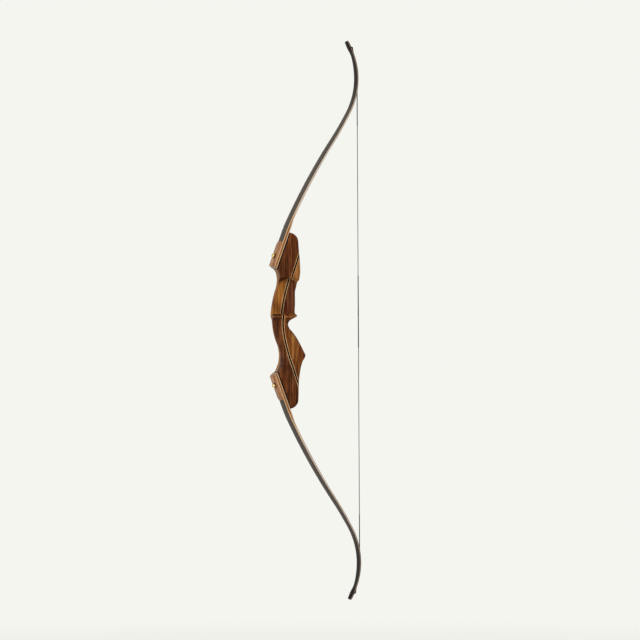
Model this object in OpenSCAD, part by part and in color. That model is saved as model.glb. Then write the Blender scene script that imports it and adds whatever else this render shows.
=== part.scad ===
// Takedown recurve bow: a laminated wooden riser, two bolted limbs and a string, in millimetres.
// The origin is the throat of the grip. +Z runs up the bow, +X points to the archer and the
// arrow passes on the -Y side.

/* [Riser] */
// Length of the riser between the ends of its limb pads
riser_len = 476; // [466:1:490]
// Width of the riser at the limb pads
riser_w = 46; // [43:0.5:49]
// Height of the bow's middle above the throat of the grip
bow_mid = 10.5; // [8:0.5:14]
// How far the archer's face of the riser stands behind the throat, above the sight window
upper_belly = 31; // [28:0.5:34]
// The same distance below the grip
lower_belly = 26; // [24:0.5:29]
// Length over which each end of the riser rounds off
tail_round = 22; // [16:1:28]
// Radius of the riser's long edges
edge_r = 5; // [3:0.5:8]

/* [Grip] */
// Width of the grip at its throat
grip_w = 31; // [28:0.5:36]
// Width of the palm swell below the throat
palm_w = 35; // [31:0.5:39]
// Depth of the grip from its throat to the back of the bow
grip_depth = 42.5; // [39:0.5:46]
// How far the heel of the grip lies below the throat
heel_drop = 84; // [80:0.5:88]
// How far the heel stands out towards the archer
heel_reach = 47; // [43:0.5:51]

/* [Sight window] */
// Height of the arrow shelf above the throat
shelf_z = 29; // [27:0.5:32]
// Height of the top of the window above the throat
window_top = 126; // [118:1:132]
// How far the window is cut past the bow's middle plane
window_past = 2.5; // [0.5:0.5:5]
// How far the shelf falls away to its outer edge
shelf_fall = 8; // [5:0.5:10]
// Height of the scoop under the top of the window, at the accent stripe
scoop_mid = 4; // [3:0.5:7]
// Height of the scoop at the back edge of the bow
scoop_edge = 26; // [20:1:30]
// Radius of the arc in which the top of the window falls towards the archer
roof_r = 60; // [54:1:72]
// How far the ledge over the throat stands out towards the archer
ledge_reach = 22.5; // [21:0.5:25]

/* [Accent stripe] */
// Thickness of the dark middle strip
dark_t = 5; // [4.2:0.1:5.6]
// Thickness of each pale strip beside it
pale_t = 1.2; // [0.9:0.1:1.6]
// How far in front of the throat the stripe's bow comes
stripe_front = 17.3; // [15:0.1:19]
// How fast the stripe's ends lean towards the archer
stripe_lean = 0.4; // [0.35:0.01:0.45]
// Radius of the bend in the middle of the stripe
stripe_bend = 90; // [70:1:110]
// Height of the stripe's foremost point above the throat
stripe_z = 8; // [0:1:16]

/* [Limb pads] */
// Lean of the limb pads from upright, in degrees
pad_angle = 20; // [18:0.5:22]
// Length of limb that seats on each pad
butt_len = 104; // [98:1:110]
// Slant of the limb's butt end, in degrees
butt_slant = 25; // [10:1:30]

/* [Limbs] */
// Length of each limb past the riser, along its back
limb_len = 571; // [560:1:585]
// Width of the limbs at the riser
limb_w = 46; // [43:0.5:49]
// Width of the limbs where they turn into the recurve
recurve_w = 29; // [26:0.5:32]
// Width of the limbs at the string nocks
nock_w = 20; // [18:0.5:22]
// Thickness of the limbs on the riser
limb_t = 9.5; // [8.5:0.1:10.5]
// Thickness of the limbs past the fade-out of the wedge
fade_t = 6.6; // [6:0.1:7.4]
// Thickness of the limbs in the recurve
tip_t = 4.5; // [4.3:0.1:5]
// Thickness of the fibreglass on each face
glass_t = 1; // [0.7:0.1:1.3]
// Thickness of the belly facing that holds the string groove
groove_facing = 2.2; // [2:0.1:2.4]
// Distance of the string nocks from the tip
nock_from_tip = 19; // [17:0.5:22]
// Thickness of the butt overlay
overlay_t = 2.5; // [2:0.1:3.5]
// Length of the butt overlay
overlay_len = 76; // [70:1:86]
// Thickness of the tip overlay
tip_overlay_t = 3.4; // [2.8:0.1:4]
// Depth of the slot that takes the string across the back of the tip overlay
tip_slot = 2.4; // [1.8:0.1:2.4]
// Length of the tip overlay
tip_overlay_len = 40; // [34:1:50]

/* [Limb bolts] */
// Diameter of the bolt
bolt_d = 8; // [6:0.5:9]
// Diameter of the bolt's domed head
head_d = 12.6; // [12:0.1:14]
// Height of the head
head_h = 6.5; // [5:0.1:8]
// Size of the hexagon socket across its flats
socket_af = 5; // [4:0.5:6]
// Diameter of the washer
washer_d = 15.6; // [15:0.1:18]
// Thickness of the washer
washer_t = 1.6; // [1:0.1:2]
// Distance of the bolt from the butt end
bolt_from_butt = 32; // [28:1:36]
// Depth of thread that the bolt takes in the riser
thread_len = 20; // [16:1:24]
// Outer diameter of the threaded insert
insert_d = 12; // [11:0.5:14]
// Diameter of the two locating pins
pin_d = 6; // [5:0.5:7]
// Distance of the locating pins from the bolt
pin_gap = 20; // [17:1:22]

/* [String] */
// Diameter of the string
string_d = 2.2; // [2:0.1:2.6]
// Diameter of the string where it is served
serving_d = 2.9; // [2.8:0.1:3.4]
// Height of the nocking point above the throat of the grip
nock_z = 34; // [30:1:38]
// Length of the served middle of the string
centre_serving = 196; // [180:1:210]
// Length of the serving at each end of the string
end_serving = 100; // [80:1:120]

/* [Hidden] */

$fn = 48;
half_riser = riser_len / 2;
riser_top = bow_mid + half_riser;
riser_foot = bow_mid - half_riser;
clear = 0.3;        // between curved faces on different bodies
running = 0.03;     // radial clearance of the bolt in its insert
big = 200;

// Slant of the pads as a slope, and where each pad begins
pad_slope = tan(pad_angle);
pad_from = half_riser - butt_len * cos(pad_angle);
pad_from_x = -butt_len * sin(pad_angle);
pad_top_z = bow_mid + pad_from;
pad_low_z = bow_mid - pad_from;

// The limb's back face past the riser, as arcs: length of each and its lean at the far end
root_len = 30;
fore_len = 90;
curl_len = 156;
tail_len = 45;
limb_bends = [
    [root_len, 25.5],
    [limb_len - root_len - fore_len - curl_len - tail_len, 33.5],
    [fore_len, 28],
    [curl_len, -17],
    [tail_len, -28],
];
limb_start = [-limb_t * cos(pad_angle), half_riser + limb_t * sin(pad_angle), pad_angle];

// Where the limb flexes: a joint just past the end of the riser
flex_s = 12;
flex_gap = 10;      // half the angle that the seam's belly side opens to, in degrees
fade_len = 28;
thin_s = 250;       // where the limb reaches its least thickness
narrow_s = 230;     // where the limb starts to narrow
recurve_s = limb_len - 101;     // where it reaches the width of the recurve
nock_s = limb_len - nock_from_tip;
crest_s = limb_bends[0][0] + limb_bends[1][0] + limb_bends[2][0]
    + limb_bends[3][0] * limb_bends[2][1] / (limb_bends[2][1] - limb_bends[3][1]);

// String and groove
string_r = string_d / 2;
serving_r = serving_d / 2;
groove_depth = string_r + 0.4;
groove_half = string_r + 0.5;
groove_least = 0.2;
groove_from = crest_s - 32;
facing_from = crest_s - 120;    // where the belly facing starts to thicken for the groove
facing_full = crest_s - 40;
fork_s = nock_s - 16;
notch_n = tip_t / 2;
notch_y = nock_w / 2 - 1;
notch_slant = 20;
notch_room = 0.35;  // room round the string in its notches
nocking_half = 13.5;
bolt_s = bolt_from_butt - butt_len;
stack_t = limb_t + overlay_t + washer_t;

function clamp01(t) = max(0, min(1, t));
function smooth(t) = let(c = clamp01(t)) c * c * (3 - 2 * c);
function ramp(v, from, to, a, b) = a + (b - a) * smooth((v - from) / (to - from));
function mix(v, from, to, a, b) = a + (b - a) * clamp01((v - from) / (to - from));
function unit(v) = v / norm(v);

// Smooth curve through [z, value] points, with no overshoot between them
function chord(p, i) = (p[i + 1][1] - p[i][1]) / (p[i + 1][0] - p[i][0]);
function slope_at(p, i) =
    i == 0 ? chord(p, 0)
    : i == len(p) - 1 ? chord(p, i - 1)
    : let(a = chord(p, i - 1), b = chord(p, i)) a * b <= 0 ? 0 : 2 * a * b / (a + b);
function span_of(p, z, i = 0) = i >= len(p) - 2 || z < p[i + 1][0] ? i : span_of(p, z, i + 1);
function curve(p, z) =
    let(i = span_of(p, z), h = p[i + 1][0] - p[i][0], t = clamp01((z - p[i][0]) / h),
        m0 = slope_at(p, i) * h, m1 = slope_at(p, i + 1) * h)
    (2 * t * t * t - 3 * t * t + 1) * p[i][1] + (t * t * t - 2 * t * t + t) * m0
        + (3 * t * t - 2 * t * t * t) * p[i + 1][1] + (t * t * t - t * t) * m1;

// Outline of the riser seen from the side, as [z, x] points
belly_line = [
    [riser_foot, lower_belly - 2.4],
    [-160, lower_belly - 0.6],
    [-heel_drop - 34, lower_belly + 4.8],
    [-heel_drop - 17, lower_belly + 11],
    [-heel_drop - 7, heel_reach - 3.2],
    [-heel_drop, heel_reach],
    [-heel_drop + 12, heel_reach - 4.7],
    [-50, 31.8], [-30, 20], [-20, 12], [-9, 3], [0, 0], [6, 1.5], [11, 5.5], [15, 11],
    [18, 16.5],
    [shelf_z - 7, ledge_reach - 0.5],
    [shelf_z - 4, ledge_reach],
    [shelf_z + 6, ledge_reach - 1.5],
    [62, 22.2], [86, 22], [104, 26], [124, 28.5],
    [142, upper_belly],
    [176, upper_belly - 1.2],
    [200, upper_belly - 3.6],
    [riser_top, upper_belly - 6],
];
back_line = [
    [pad_low_z, pad_from_x],
    [pad_low_z + 4.5, pad_from_x + 4.4],
    [pad_low_z + 14, pad_from_x + 8.6],
    [pad_low_z + 27, pad_from_x + 12.6],
    [-84, -22.4], [-62, -26],
    [-38, -grip_depth + 7.5],
    [-14, -grip_depth + 1.7],
    [0, -grip_depth],
    [22, -grip_depth - 1.2], [38, -grip_depth + 0.2],
    [60, -38.9], [82, -33.8], [104, -27],
    [pad_top_z - 29, pad_from_x + 10.8],
    [pad_top_z - 13, pad_from_x + 8.4],
    [pad_top_z - 5, pad_from_x + 5],
    [pad_top_z, pad_from_x],
];
width_line = [
    [riser_foot, riser_w - 7], [riser_foot + 45, riser_w], [pad_low_z + 12, riser_w],
    [-heel_drop - 6, riser_w - 8], [-48, palm_w], [-12, grip_w + 0.6], [2, grip_w],
    [12, grip_w + 2], [21, riser_w - 5], [40, riser_w - 3], [110, riser_w - 2],
    [pad_top_z, riser_w], [riser_top - 45, riser_w], [riser_top, riser_w - 7],
];
// Share of the section that its corners round off
grip_round = 0.82;
round_line = [
    [-heel_drop - 36, 0], [-heel_drop, 0.55], [-40, grip_round], [8, grip_round], [24, 0.2], [36, 0],
];

// The tails round off as quarter ellipses, and past the pad's start the blank is left proud
function tail_share(z) =
    let(d = min(riser_top - z, z - riser_foot), t = clamp01(1 - d / tail_round)) sqrt(1 - t * t);
function belly_x(z) =
    let(pad = (abs(z - bow_mid) - half_riser) * pad_slope)
    tail_share(z) >= 1 ? curve(belly_line, z) : pad + (curve(belly_line, z) - pad) * tail_share(z);
proud = 8;
function back_x(z) =
    let(d = abs(z - bow_mid) - pad_from)
    d <= 0 ? curve(back_line, z) : pad_from_x + d * pad_slope - min(proud, 1.5 * d);
function section_r(z) =
    let(half = min(belly_x(z) - back_x(z), curve(width_line, z)) / 2)
    min(half * 0.96, max(edge_r, half * curve(round_line, z)));

corner_steps = 5;
function riser_section(z) =
    let(x0 = back_x(z), x1 = belly_x(z), half = curve(width_line, z) / 2, r = section_r(z))
    [for (q = [0:3]) for (j = [0:corner_steps])
        let(a = q * 90 + j * 90 / corner_steps)
        [(q == 0 || q == 3 ? x1 - r : x0 + r) + r * cos(a), (q < 2 ? half - r : r - half) + r * sin(a), z]];

// Heights of the riser's sections: closer where the outline turns fast
function steps(from, to, gap) =
    let(n = ceil((to - from) / gap)) [for (i = [0:n - 1]) from + (to - from) * i / n];
section_heights = concat(
    [for (d = [0, 0.6, 2, 4.5, 8, 12, 17]) riser_foot + d],
    steps(riser_foot + tail_round, pad_low_z - 6, 14),
    steps(pad_low_z - 6, pad_low_z + 6, 3),
    steps(pad_low_z + 6, -heel_drop - 20, 8),
    steps(-heel_drop - 20, -heel_drop + 8, 3.5),
    steps(-heel_drop + 8, -20, 6),
    steps(-20, 6, 4),
    steps(6, shelf_z + 8, 2),
    steps(shelf_z + 8, pad_top_z - 6, 8),
    steps(pad_top_z - 6, pad_top_z + 6, 3),
    steps(pad_top_z + 6, riser_top - tail_round, 14),
    [for (d = [22, 17, 12, 8, 4.5, 2, 0.6, 0]) riser_top - d * tail_round / 22],
);

// Solid through a list of rings, each anticlockwise when seen from the ring after it
module loft(rings) {
    n = len(rings[0]);
    m = len(rings);
    polyhedron(
        points = [for (ring = rings) for (p = ring) p],
        faces = concat(
            [[for (i = [0:n - 1]) i]],
            [[for (i = [n - 1:-1:0]) (m - 1) * n + i]],
            [for (k = [0:m - 2]) for (i = [0:n - 1])
                [k * n + i, (k + 1) * n + i, (k + 1) * n + (i + 1) % n]],
            [for (k = [0:m - 2]) for (i = [0:n - 1])
                [k * n + i, (k + 1) * n + (i + 1) % n, k * n + (i + 1) % n]]
        )
    );
}

// Round tube along a path
function tangent(path, i) = unit(path[min(i + 1, len(path) - 1)] - path[max(i - 1, 0)]);
function square_to(u, t) = unit(u - (u * t) * t);
function tube_rings(path, r, sides) =
    [for (i = 0, u = square_to([0.3, 0.9, 0.2], tangent(path, 0)); i < len(path);
        i = i + 1, u = i < len(path) ? square_to(u, tangent(path, i)) : u)
        let(v = cross(tangent(path, i), u))
        [for (k = [0:sides - 1]) path[i] + r * (cos(k * 360 / sides) * u + sin(k * 360 / sides) * v)]];
module tube(path, r, sides = 8) { loft(tube_rings(path, r, sides)); }

// A point on the limb's back face, at a length s past the riser, as [x, height, lean]
function arc_end(p, length, lean) =
    abs(lean - p[2]) < 0.01
    ? [p[0] + length * sin(lean), p[1] + length * cos(lean), lean]
    : let(r = length * 180 / PI / (lean - p[2]))
        [p[0] + r * (cos(p[2]) - cos(lean)), p[1] + r * (sin(lean) - sin(p[2])), lean];
function limb_at(s, i = 0, p = limb_start) =
    s <= 0 || i == len(limb_bends) ? [p[0] + s * sin(p[2]), p[1] + s * cos(p[2]), p[2]]
    : s <= limb_bends[i][0] ? arc_end(p, s, p[2] + (limb_bends[i][1] - p[2]) * s / limb_bends[i][0])
    : limb_at(s - limb_bends[i][0], i + 1, arc_end(p, limb_bends[i][0], limb_bends[i][1]));
// The same with a depth n in from the back face and a distance y from the middle
function limb_point(s, y, n) = let(p = limb_at(s)) [p[0] + n * cos(p[2]), y, p[1] - n * sin(p[2])];

function limb_t_at(s) =
    s < flex_s + fade_len ? ramp(s, flex_s, flex_s + fade_len, limb_t, fade_t)
    : mix(s, flex_s + fade_len, thin_s, fade_t, tip_t);
function limb_w_at(s) =
    s < recurve_s ? ramp(s, narrow_s, recurve_s, limb_w, recurve_w)
    : s < nock_s ? ramp(s, recurve_s, nock_s, recurve_w, nock_w)
    : nock_w * sqrt(max(0.09, 1 - pow((s - nock_s) / nock_from_tip, 4)));
function belly_facing(s) = ramp(s, facing_from, facing_full, glass_t, groove_facing);
function groove_at(s) =
    max(groove_least, groove_depth * smooth((s - groove_from) / 24) * smooth((fork_s + 4 - s) / 10));
function string_n(s) = limb_t_at(s) + string_r + clear - groove_at(s);

// The seam at the flexing joint: upright on the back half, opening to the belly
function seam(n) = clear / 2 + max(0, n - limb_t / 2) * tan(flex_gap);
function stations(from, to, gap) = [each steps(from, to, gap), to];
ring_gap = 10;
tip_gap = 4;
tip_from = limb_len - tip_overlay_len;
plain_stations = stations(flex_s, groove_from, ring_gap);
tip_stations = stations(tip_from, limb_len, tip_gap);
groove_stations = [each steps(groove_from, tip_from, ring_gap * 0.8), each tip_stations];
all_stations = [each steps(flex_s, groove_from, ring_gap), each groove_stations];
function grooved_ring(s, n0, n1) =
    let(w = limb_w_at(s) / 2, gh = min(groove_half, w * 0.6), n2 = n1 - groove_at(s))
    [for (q = [[-w, n1], [-gh, n1], [-gh * 0.6, n2], [gh * 0.6, n2], [gh, n1], [w, n1], [w, n0], [-w, n0]])
        limb_point(s, q[0], q[1])];
function plain_ring(s, n0, n1) =
    let(w = limb_w_at(s) / 2, lead = s <= flex_s ? 1 : 0)
    [for (q = [[-w, n1], [w, n1], [w, n0], [-w, n0]]) limb_point(s + lead * seam(q[1]), q[0], q[1])];

// String: its line in front of the archer, and the place where it leaves the recurve
crest = limb_point(crest_s, 0, string_n(crest_s));
string_x = crest[0];
lift_z = crest[2];
lift_gap = 30;      // from there to the serving on the string's free stretch

// Places the upper limb's parts, and mirrors them for the lower limb
module upper() { translate([0, 0, bow_mid]) children(); }
module lower() { translate([0, 0, bow_mid]) mirror([0, 0, 1]) children(); }
// The pad's own frame: x along the limb from the riser's end, z out of the back of the bow
module on_pad(s = 0) {
    translate([s * sin(pad_angle), 0, half_riser + s * cos(pad_angle)])
        rotate([0, pad_angle - 90, 0]) children();
}

// Cuts for the limb pads, the sight window, the threaded inserts and the pins
module pad_cut() {
    on_pad() translate([-big, -big / 2, 0]) cube([2 * big, big, 40]);
}
// The top of the window is level in front, and falls in an arc towards the archer
roof_from = -2;
function roof_z(x) = window_top - roof_r + sqrt(pow(roof_r, 2) - pow(max(x - roof_from, 0), 2));
// Section of the window's top at one x: a quarter ellipse from its side face out to the roof
scoop_run = riser_w / 2 + window_past - 3;
scoop_foot = window_top - 36;
scoop_back = -42;
scoop_steps = 8;
function scoop_h(x) =
    let(bow = (max(x, scoop_back) - stripe_x(window_top)) / (stripe_x(window_top) - back_x(window_top)))
    min(scoop_mid + (scoop_edge - scoop_mid) * bow * bow, roof_z(x) - scoop_foot);
function window_section(x) =
    concat(
        [[x, -big, scoop_foot - 2], [x, window_past, scoop_foot - 2]],
        [for (i = [0:scoop_steps]) let(a = 90 * i / scoop_steps)
            [x, window_past - scoop_run * (1 - cos(a)), roof_z(x) - scoop_h(x) * (1 - sin(a))]],
        [[x, -big, roof_z(x)]]
    );
module window_cut() {
    shelf_run = riser_w / 2 + window_past;
    shelf_r = (shelf_run * shelf_run + shelf_fall * shelf_fall) / (2 * shelf_fall);
    difference() {
        union() {
            translate([-big, -big, 0]) cube([2 * big, big + window_past, scoop_foot]);
            loft([for (x = concat([-big], steps(scoop_back, 48, 6))) window_section(x)]);
        }
        // The shelf is crowned and falls to its outer edge
        translate([-big, window_past, shelf_z - shelf_r])
            rotate([0, 90, 0]) cylinder(r = shelf_r, h = 2 * big, $fn = 96);
        translate([-big, -big, -big]) cube([2 * big, 2 * big, shelf_z - shelf_fall + big]);
    }
}
insert_len = thread_len + 2;
pin_in_riser = 12;
pin_in_limb = 5;
module seat_bores() {
    on_pad(bolt_s) translate([0, 0, -insert_len]) cylinder(d = insert_d, h = insert_len + 10);
    for (side = [-1, 1])
        on_pad(bolt_s + side * pin_gap) translate([0, 0, -pin_in_riser])
            cylinder(d = pin_d, h = pin_in_riser + 10);
}

// The riser's shape before it is divided into its blocks and strips
module riser_blank() {
    difference() {
        loft([for (z = section_heights) riser_section(z)]);
        upper() pad_cut();
        lower() pad_cut();
        window_cut();
        upper() seat_bores();
        lower() seat_bores();
    }
}

// Middle line of the accent stripe, and the band between two offsets from it
function stripe_x(z) = -stripe_front + stripe_lean * (norm([z - stripe_z, stripe_bend]) - stripe_bend);
stripe_heights = concat(steps(riser_foot - 5, riser_top + 5, 18), [riser_top + 5]);
function stripe_edge(offset) = [for (z = stripe_heights) [stripe_x(z) + offset, z]];
function backwards(list) = [for (i = [len(list) - 1:-1:0]) list[i]];
module band(from, to) {
    front = from == -big ? [[-big, riser_foot - 5], [-big, riser_top + 5]] : stripe_edge(from);
    rear = to == big ? [[big, riser_foot - 5], [big, riser_top + 5]] : stripe_edge(to);
    translate([0, big / 2, 0]) rotate([90, 0, 0]) linear_extrude(big) polygon(concat(front, backwards(rear)));
}
stripe_half = dark_t / 2 + pale_t;

// The two halves of the riser beside its middle plane, and the heights above and below the window
module half_space(side) { translate([-big, side > 0 ? 0 : -big, -2 * big]) cube([2 * big, big, 4 * big]); }
split_z = (shelf_z + window_top) / 2;
module above(z) { translate([-big, -big, z]) cube([2 * big, 2 * big, 2 * big]); }
module below(z) { translate([-big, -big, z - 2 * big]) cube([2 * big, 2 * big, 2 * big]); }

dark_wood = "#4a2318";
gold_wood = "#9a6228";
module riser_back_right() {
    color(gold_wood) intersection() { riser_blank(); band(-big, -stripe_half); half_space(1); }
}
module riser_belly_right() {
    color(dark_wood) intersection() { riser_blank(); band(stripe_half, big); half_space(1); }
}
module riser_back_left_upper() {
    color(dark_wood)
        intersection() { riser_blank(); band(-big, -stripe_half); half_space(-1); above(split_z); }
}
module riser_back_left_lower() {
    color(dark_wood)
        intersection() { riser_blank(); band(-big, -stripe_half); half_space(-1); below(split_z); }
}
module riser_belly_left_upper() {
    color(gold_wood)
        intersection() { riser_blank(); band(stripe_half, big); half_space(-1); above(split_z); }
}
module riser_belly_left_lower() {
    color(gold_wood)
        intersection() { riser_blank(); band(stripe_half, big); half_space(-1); below(split_z); }
}
module stripe_dark() {
    color("#1c1410") intersection() { riser_blank(); band(-dark_t / 2, dark_t / 2); }
}
module stripe_pale_back() {
    color("#c9a878") intersection() { riser_blank(); band(-stripe_half, -dark_t / 2); }
}
module stripe_pale_belly() {
    color("#c9a878") intersection() { riser_blank(); band(dark_t / 2, stripe_half); }
}

// Hardware of one limb seat
module insert() {
    color("goldenrod") on_pad(bolt_s) difference() {
        translate([0, 0, -insert_len]) cylinder(d = insert_d, h = insert_len);
        translate([0, 0, -insert_len - 1]) cylinder(d = bolt_d + 2 * running, h = insert_len + 2);
    }
}
module locating_pins() {
    color("silver") for (side = [-1, 1])
        on_pad(bolt_s + side * pin_gap) translate([0, 0, -pin_in_riser])
            cylinder(d = pin_d, h = pin_in_riser + pin_in_limb);
}
module washer() {
    color("#2c2826") on_pad(bolt_s) translate([0, 0, limb_t + overlay_t]) difference() {
        cylinder(d = washer_d, h = washer_t);
        translate([0, 0, -1]) cylinder(d = bolt_d + 2 * clear, h = washer_t + 2);
    }
}
module limb_bolt() {
    dome_r = (pow(head_d / 2, 2) + pow(head_h * 0.6, 2)) / (1.2 * head_h);
    color("gold") on_pad(bolt_s) difference() {
        union() {
            translate([0, 0, -thread_len]) cylinder(d = bolt_d, h = thread_len + stack_t);
            translate([0, 0, stack_t]) intersection() {
                cylinder(d = head_d, h = head_h);
                translate([0, 0, head_h - dome_r]) sphere(r = dome_r, $fn = 96);
            }
        }
        translate([0, 0, stack_t + head_h * 0.45]) cylinder(d = socket_af / cos(30), h = head_h, $fn = 6);
    }
}

// The limb's seat on the riser: three laminations and an overlay, drilled for the bolt and pins
module butt_outline(z0, z1) {
    slant = tan(butt_slant);
    half = limb_t / 2;
    end_s = function(z) flex_s - seam(limb_t - z);
    middle = z0 < half && z1 > half ? [[end_s(half), half]] : [];
    polygon(concat([[-butt_len + z0 * slant, z0], [end_s(z0), z0]], middle,
        [[end_s(z1), z1], [-butt_len + z1 * slant, z1]]));
}
module butt_layer(z0, z1) {
    difference() {
        on_pad() rotate([90, 0, 0]) translate([0, 0, -limb_w / 2])
            linear_extrude(limb_w) butt_outline(z0, z1);
        on_pad(bolt_s) translate([0, 0, -1]) cylinder(d = bolt_d + 2 * clear, h = limb_t + 2);
        for (side = [-1, 1])
            on_pad(bolt_s + side * pin_gap) translate([0, 0, -1])
                cylinder(d = pin_d + clear, h = pin_in_limb + 1.5);
    }
}
module butt_overlay() {
    feather = 10;
    slant = tan(butt_slant);
    top = limb_t + overlay_t;
    far = -butt_len + overlay_len;
    color("#6b3a1e") difference() {
        on_pad() rotate([90, 0, 0]) translate([0, 0, -limb_w / 2]) linear_extrude(limb_w)
            polygon([[-butt_len + limb_t * slant, limb_t], [far, limb_t], [far, limb_t + 0.4],
                [far - feather, top], [-butt_len + top * slant, top]]);
        on_pad(bolt_s) cylinder(d = bolt_d + 2 * clear, h = 2 * top);
    }
}
module butt_back_glass() { color("#55504a") butt_layer(limb_t - glass_t, limb_t); }
module butt_core() { color("#8a5628") butt_layer(glass_t, limb_t - glass_t); }
module butt_belly_glass() { color("#c8b894") butt_layer(0, glass_t); }

// Nock notches at the tip, cut across the limb's edges, further from the tip on the belly
function notch_lean(n) = nock_s + (notch_n - n) * tan(notch_slant);
module notches() {
    lean = limb_at(nock_s)[2];
    for (side = [-1, 1])
        translate(limb_point(nock_s, side * notch_y, notch_n)) rotate([0, lean + 90 + notch_slant, 0])
            cylinder(r = serving_r + notch_room, h = 6 * tip_t, center = true, $fn = 32);
}
module back_glass() {
    color("#55504a") difference() {
        loft([for (s = all_stations) plain_ring(s, 0, glass_t)]);
        notches();
    }
}
module limb_core() {
    color("#b89a70") difference() {
        loft([for (s = all_stations) plain_ring(s, glass_t, limb_t_at(s) - belly_facing(s))]);
        notches();
    }
}
module belly_glass() {
    color("#6e6658") difference() {
        union() {
            loft([for (s = plain_stations) plain_ring(s, limb_t_at(s) - belly_facing(s), limb_t_at(s))]);
            loft([for (s = groove_stations) grooved_ring(s, limb_t_at(s) - belly_facing(s), limb_t_at(s))]);
        }
        notches();
    }
}
function tip_overlay_at(s) = ramp(s, tip_from, tip_from + 20, 0.3, tip_overlay_t);
over_n = tip_slot - tip_overlay_t - serving_r - clear;
module slot_round(n) {
    translate(limb_point(notch_lean(n), 0, n)) rotate([90, 0, 0])
        cylinder(r = serving_r + notch_room, h = 2 * nock_w, center = true, $fn = 32);
}
module tip_overlay() {
    color("#141212") difference() {
        loft([for (s = tip_stations) plain_ring(s, -tip_overlay_at(s), 0)]);
        notches();
        hull() {
            slot_round(over_n - 0.2);
            slot_round(over_n - 2 * tip_slot);
        }
    }
}

// The loop of the string: a bight through the notches and over the back, and a fork on the belly
function both_sides(half) =
    concat(half, [for (i = [len(half) - 2:-1:0]) [half[i][0], -half[i][1], half[i][2]]]);
module string_bight() {
    bends = [[notch_y, tip_t], [notch_y, over_n + 1.9], [notch_y - 0.3, over_n + 0.8],
        [notch_y - 1.3, over_n - 0.1], [notch_y - 3.2, over_n - 0.2], [0, over_n - 0.2]];
    color("#26231f") tube(both_sides([for (q = bends) limb_point(notch_lean(q[1]), q[0], q[1])]), serving_r);
}
belly_n = tip_t + serving_r + clear;
module string_fork() {
    from_s = notch_lean(belly_n);
    bends = [[from_s, notch_y], [from_s - 2, notch_y - 0.5], [from_s - 5, notch_y - 2.4],
        [fork_s + 5, 2.6], [fork_s + 1.6, 1.6], [fork_s, 0]];
    color("#26231f") tube(both_sides([for (q = bends) limb_point(q[0], q[1], belly_n)]), serving_r);
}
// One half of the string, from the fork to a height over the bow's middle
module string_strand(end) {
    last_s = fork_s - serving_r - 0.05;
    color("#3a3733") tube([[string_x, 0, end], [string_x, 0, lift_z - 2 * lift_gap],
        each [for (s = stations(crest_s, last_s, 8)) limb_point(s, 0, string_n(s))]], string_r, 10);
}
module sleeve(z0, z1) {
    color("#26231f") translate([string_x, 0, z0]) difference() {
        cylinder(r = serving_r, h = z1 - z0, $fn = 24);
        translate([0, 0, -1]) cylinder(r = string_r, h = z1 - z0 + 2, $fn = 24);
    }
}
module end_sleeve() { sleeve(lift_z - lift_gap - end_serving, lift_z - lift_gap); }
// Height of the nocking point over the bow's middle, as each limb sees it
function nock_over(side) = side * (nock_z - bow_mid);
module centre_sleeve(side) {
    sleeve(nock_over(side) + nocking_half, nock_over(side) + centre_serving / 2);
}
module nocking_serving() {
    color("#26231f") translate([string_x, 0, nock_z - nocking_half + clear])
        cylinder(r = serving_r, h = 2 * (nocking_half - clear), $fn = 24);
}

module upper_insert() { upper() insert(); }
module lower_insert() { lower() insert(); }
module upper_locating_pins() { upper() locating_pins(); }
module lower_locating_pins() { lower() locating_pins(); }
module upper_butt_back_glass() { upper() butt_back_glass(); }
module upper_butt_core() { upper() butt_core(); }
module upper_butt_belly_glass() { upper() butt_belly_glass(); }
module upper_butt_overlay() { upper() butt_overlay(); }
module lower_butt_back_glass() { lower() butt_back_glass(); }
module lower_butt_core() { lower() butt_core(); }
module lower_butt_belly_glass() { lower() butt_belly_glass(); }
module lower_butt_overlay() { lower() butt_overlay(); }
module upper_washer() { upper() washer(); }
module upper_limb_bolt() { upper() limb_bolt(); }
module lower_washer() { lower() washer(); }
module lower_limb_bolt() { lower() limb_bolt(); }
module upper_back_glass() { upper() back_glass(); }
module upper_limb_core() { upper() limb_core(); }
module upper_belly_glass() { upper() belly_glass(); }
module upper_tip_overlay() { upper() tip_overlay(); }
module lower_back_glass() { lower() back_glass(); }
module lower_limb_core() { lower() limb_core(); }
module lower_belly_glass() { lower() belly_glass(); }
module lower_tip_overlay() { lower() tip_overlay(); }
module upper_string_bight() { upper() string_bight(); }
module upper_string_fork() { upper() string_fork(); }
module upper_string_strand() { upper() string_strand(nock_over(1) + nocking_half); }
module upper_end_serving() { upper() end_sleeve(); }
module upper_centre_serving() { upper() centre_sleeve(1); }
module lower_string_bight() { lower() string_bight(); }
module lower_string_fork() { lower() string_fork(); }
module lower_string_strand() { lower() string_strand(nock_over(-1) + nocking_half); }
module lower_end_serving() { lower() end_sleeve(); }
module lower_centre_serving() { lower() centre_sleeve(-1); }

riser_back_right();
riser_belly_right();
riser_back_left_upper();
riser_back_left_lower();
riser_belly_left_upper();
riser_belly_left_lower();
stripe_dark();
stripe_pale_back();
stripe_pale_belly();
upper_insert();
lower_insert();
upper_locating_pins();
lower_locating_pins();
upper_butt_back_glass();
upper_butt_core();
upper_butt_belly_glass();
upper_butt_overlay();
lower_butt_back_glass();
lower_butt_core();
lower_butt_belly_glass();
lower_butt_overlay();
upper_washer();
upper_limb_bolt();
lower_washer();
lower_limb_bolt();
upper_back_glass();
upper_limb_core();
upper_belly_glass();
upper_tip_overlay();
lower_back_glass();
lower_limb_core();
lower_belly_glass();
lower_tip_overlay();
upper_string_bight();
upper_string_fork();
upper_string_strand();
upper_end_serving();
upper_centre_serving();
lower_string_bight();
lower_string_fork();
lower_string_strand();
lower_end_serving();
lower_centre_serving();
nocking_serving();
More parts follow.
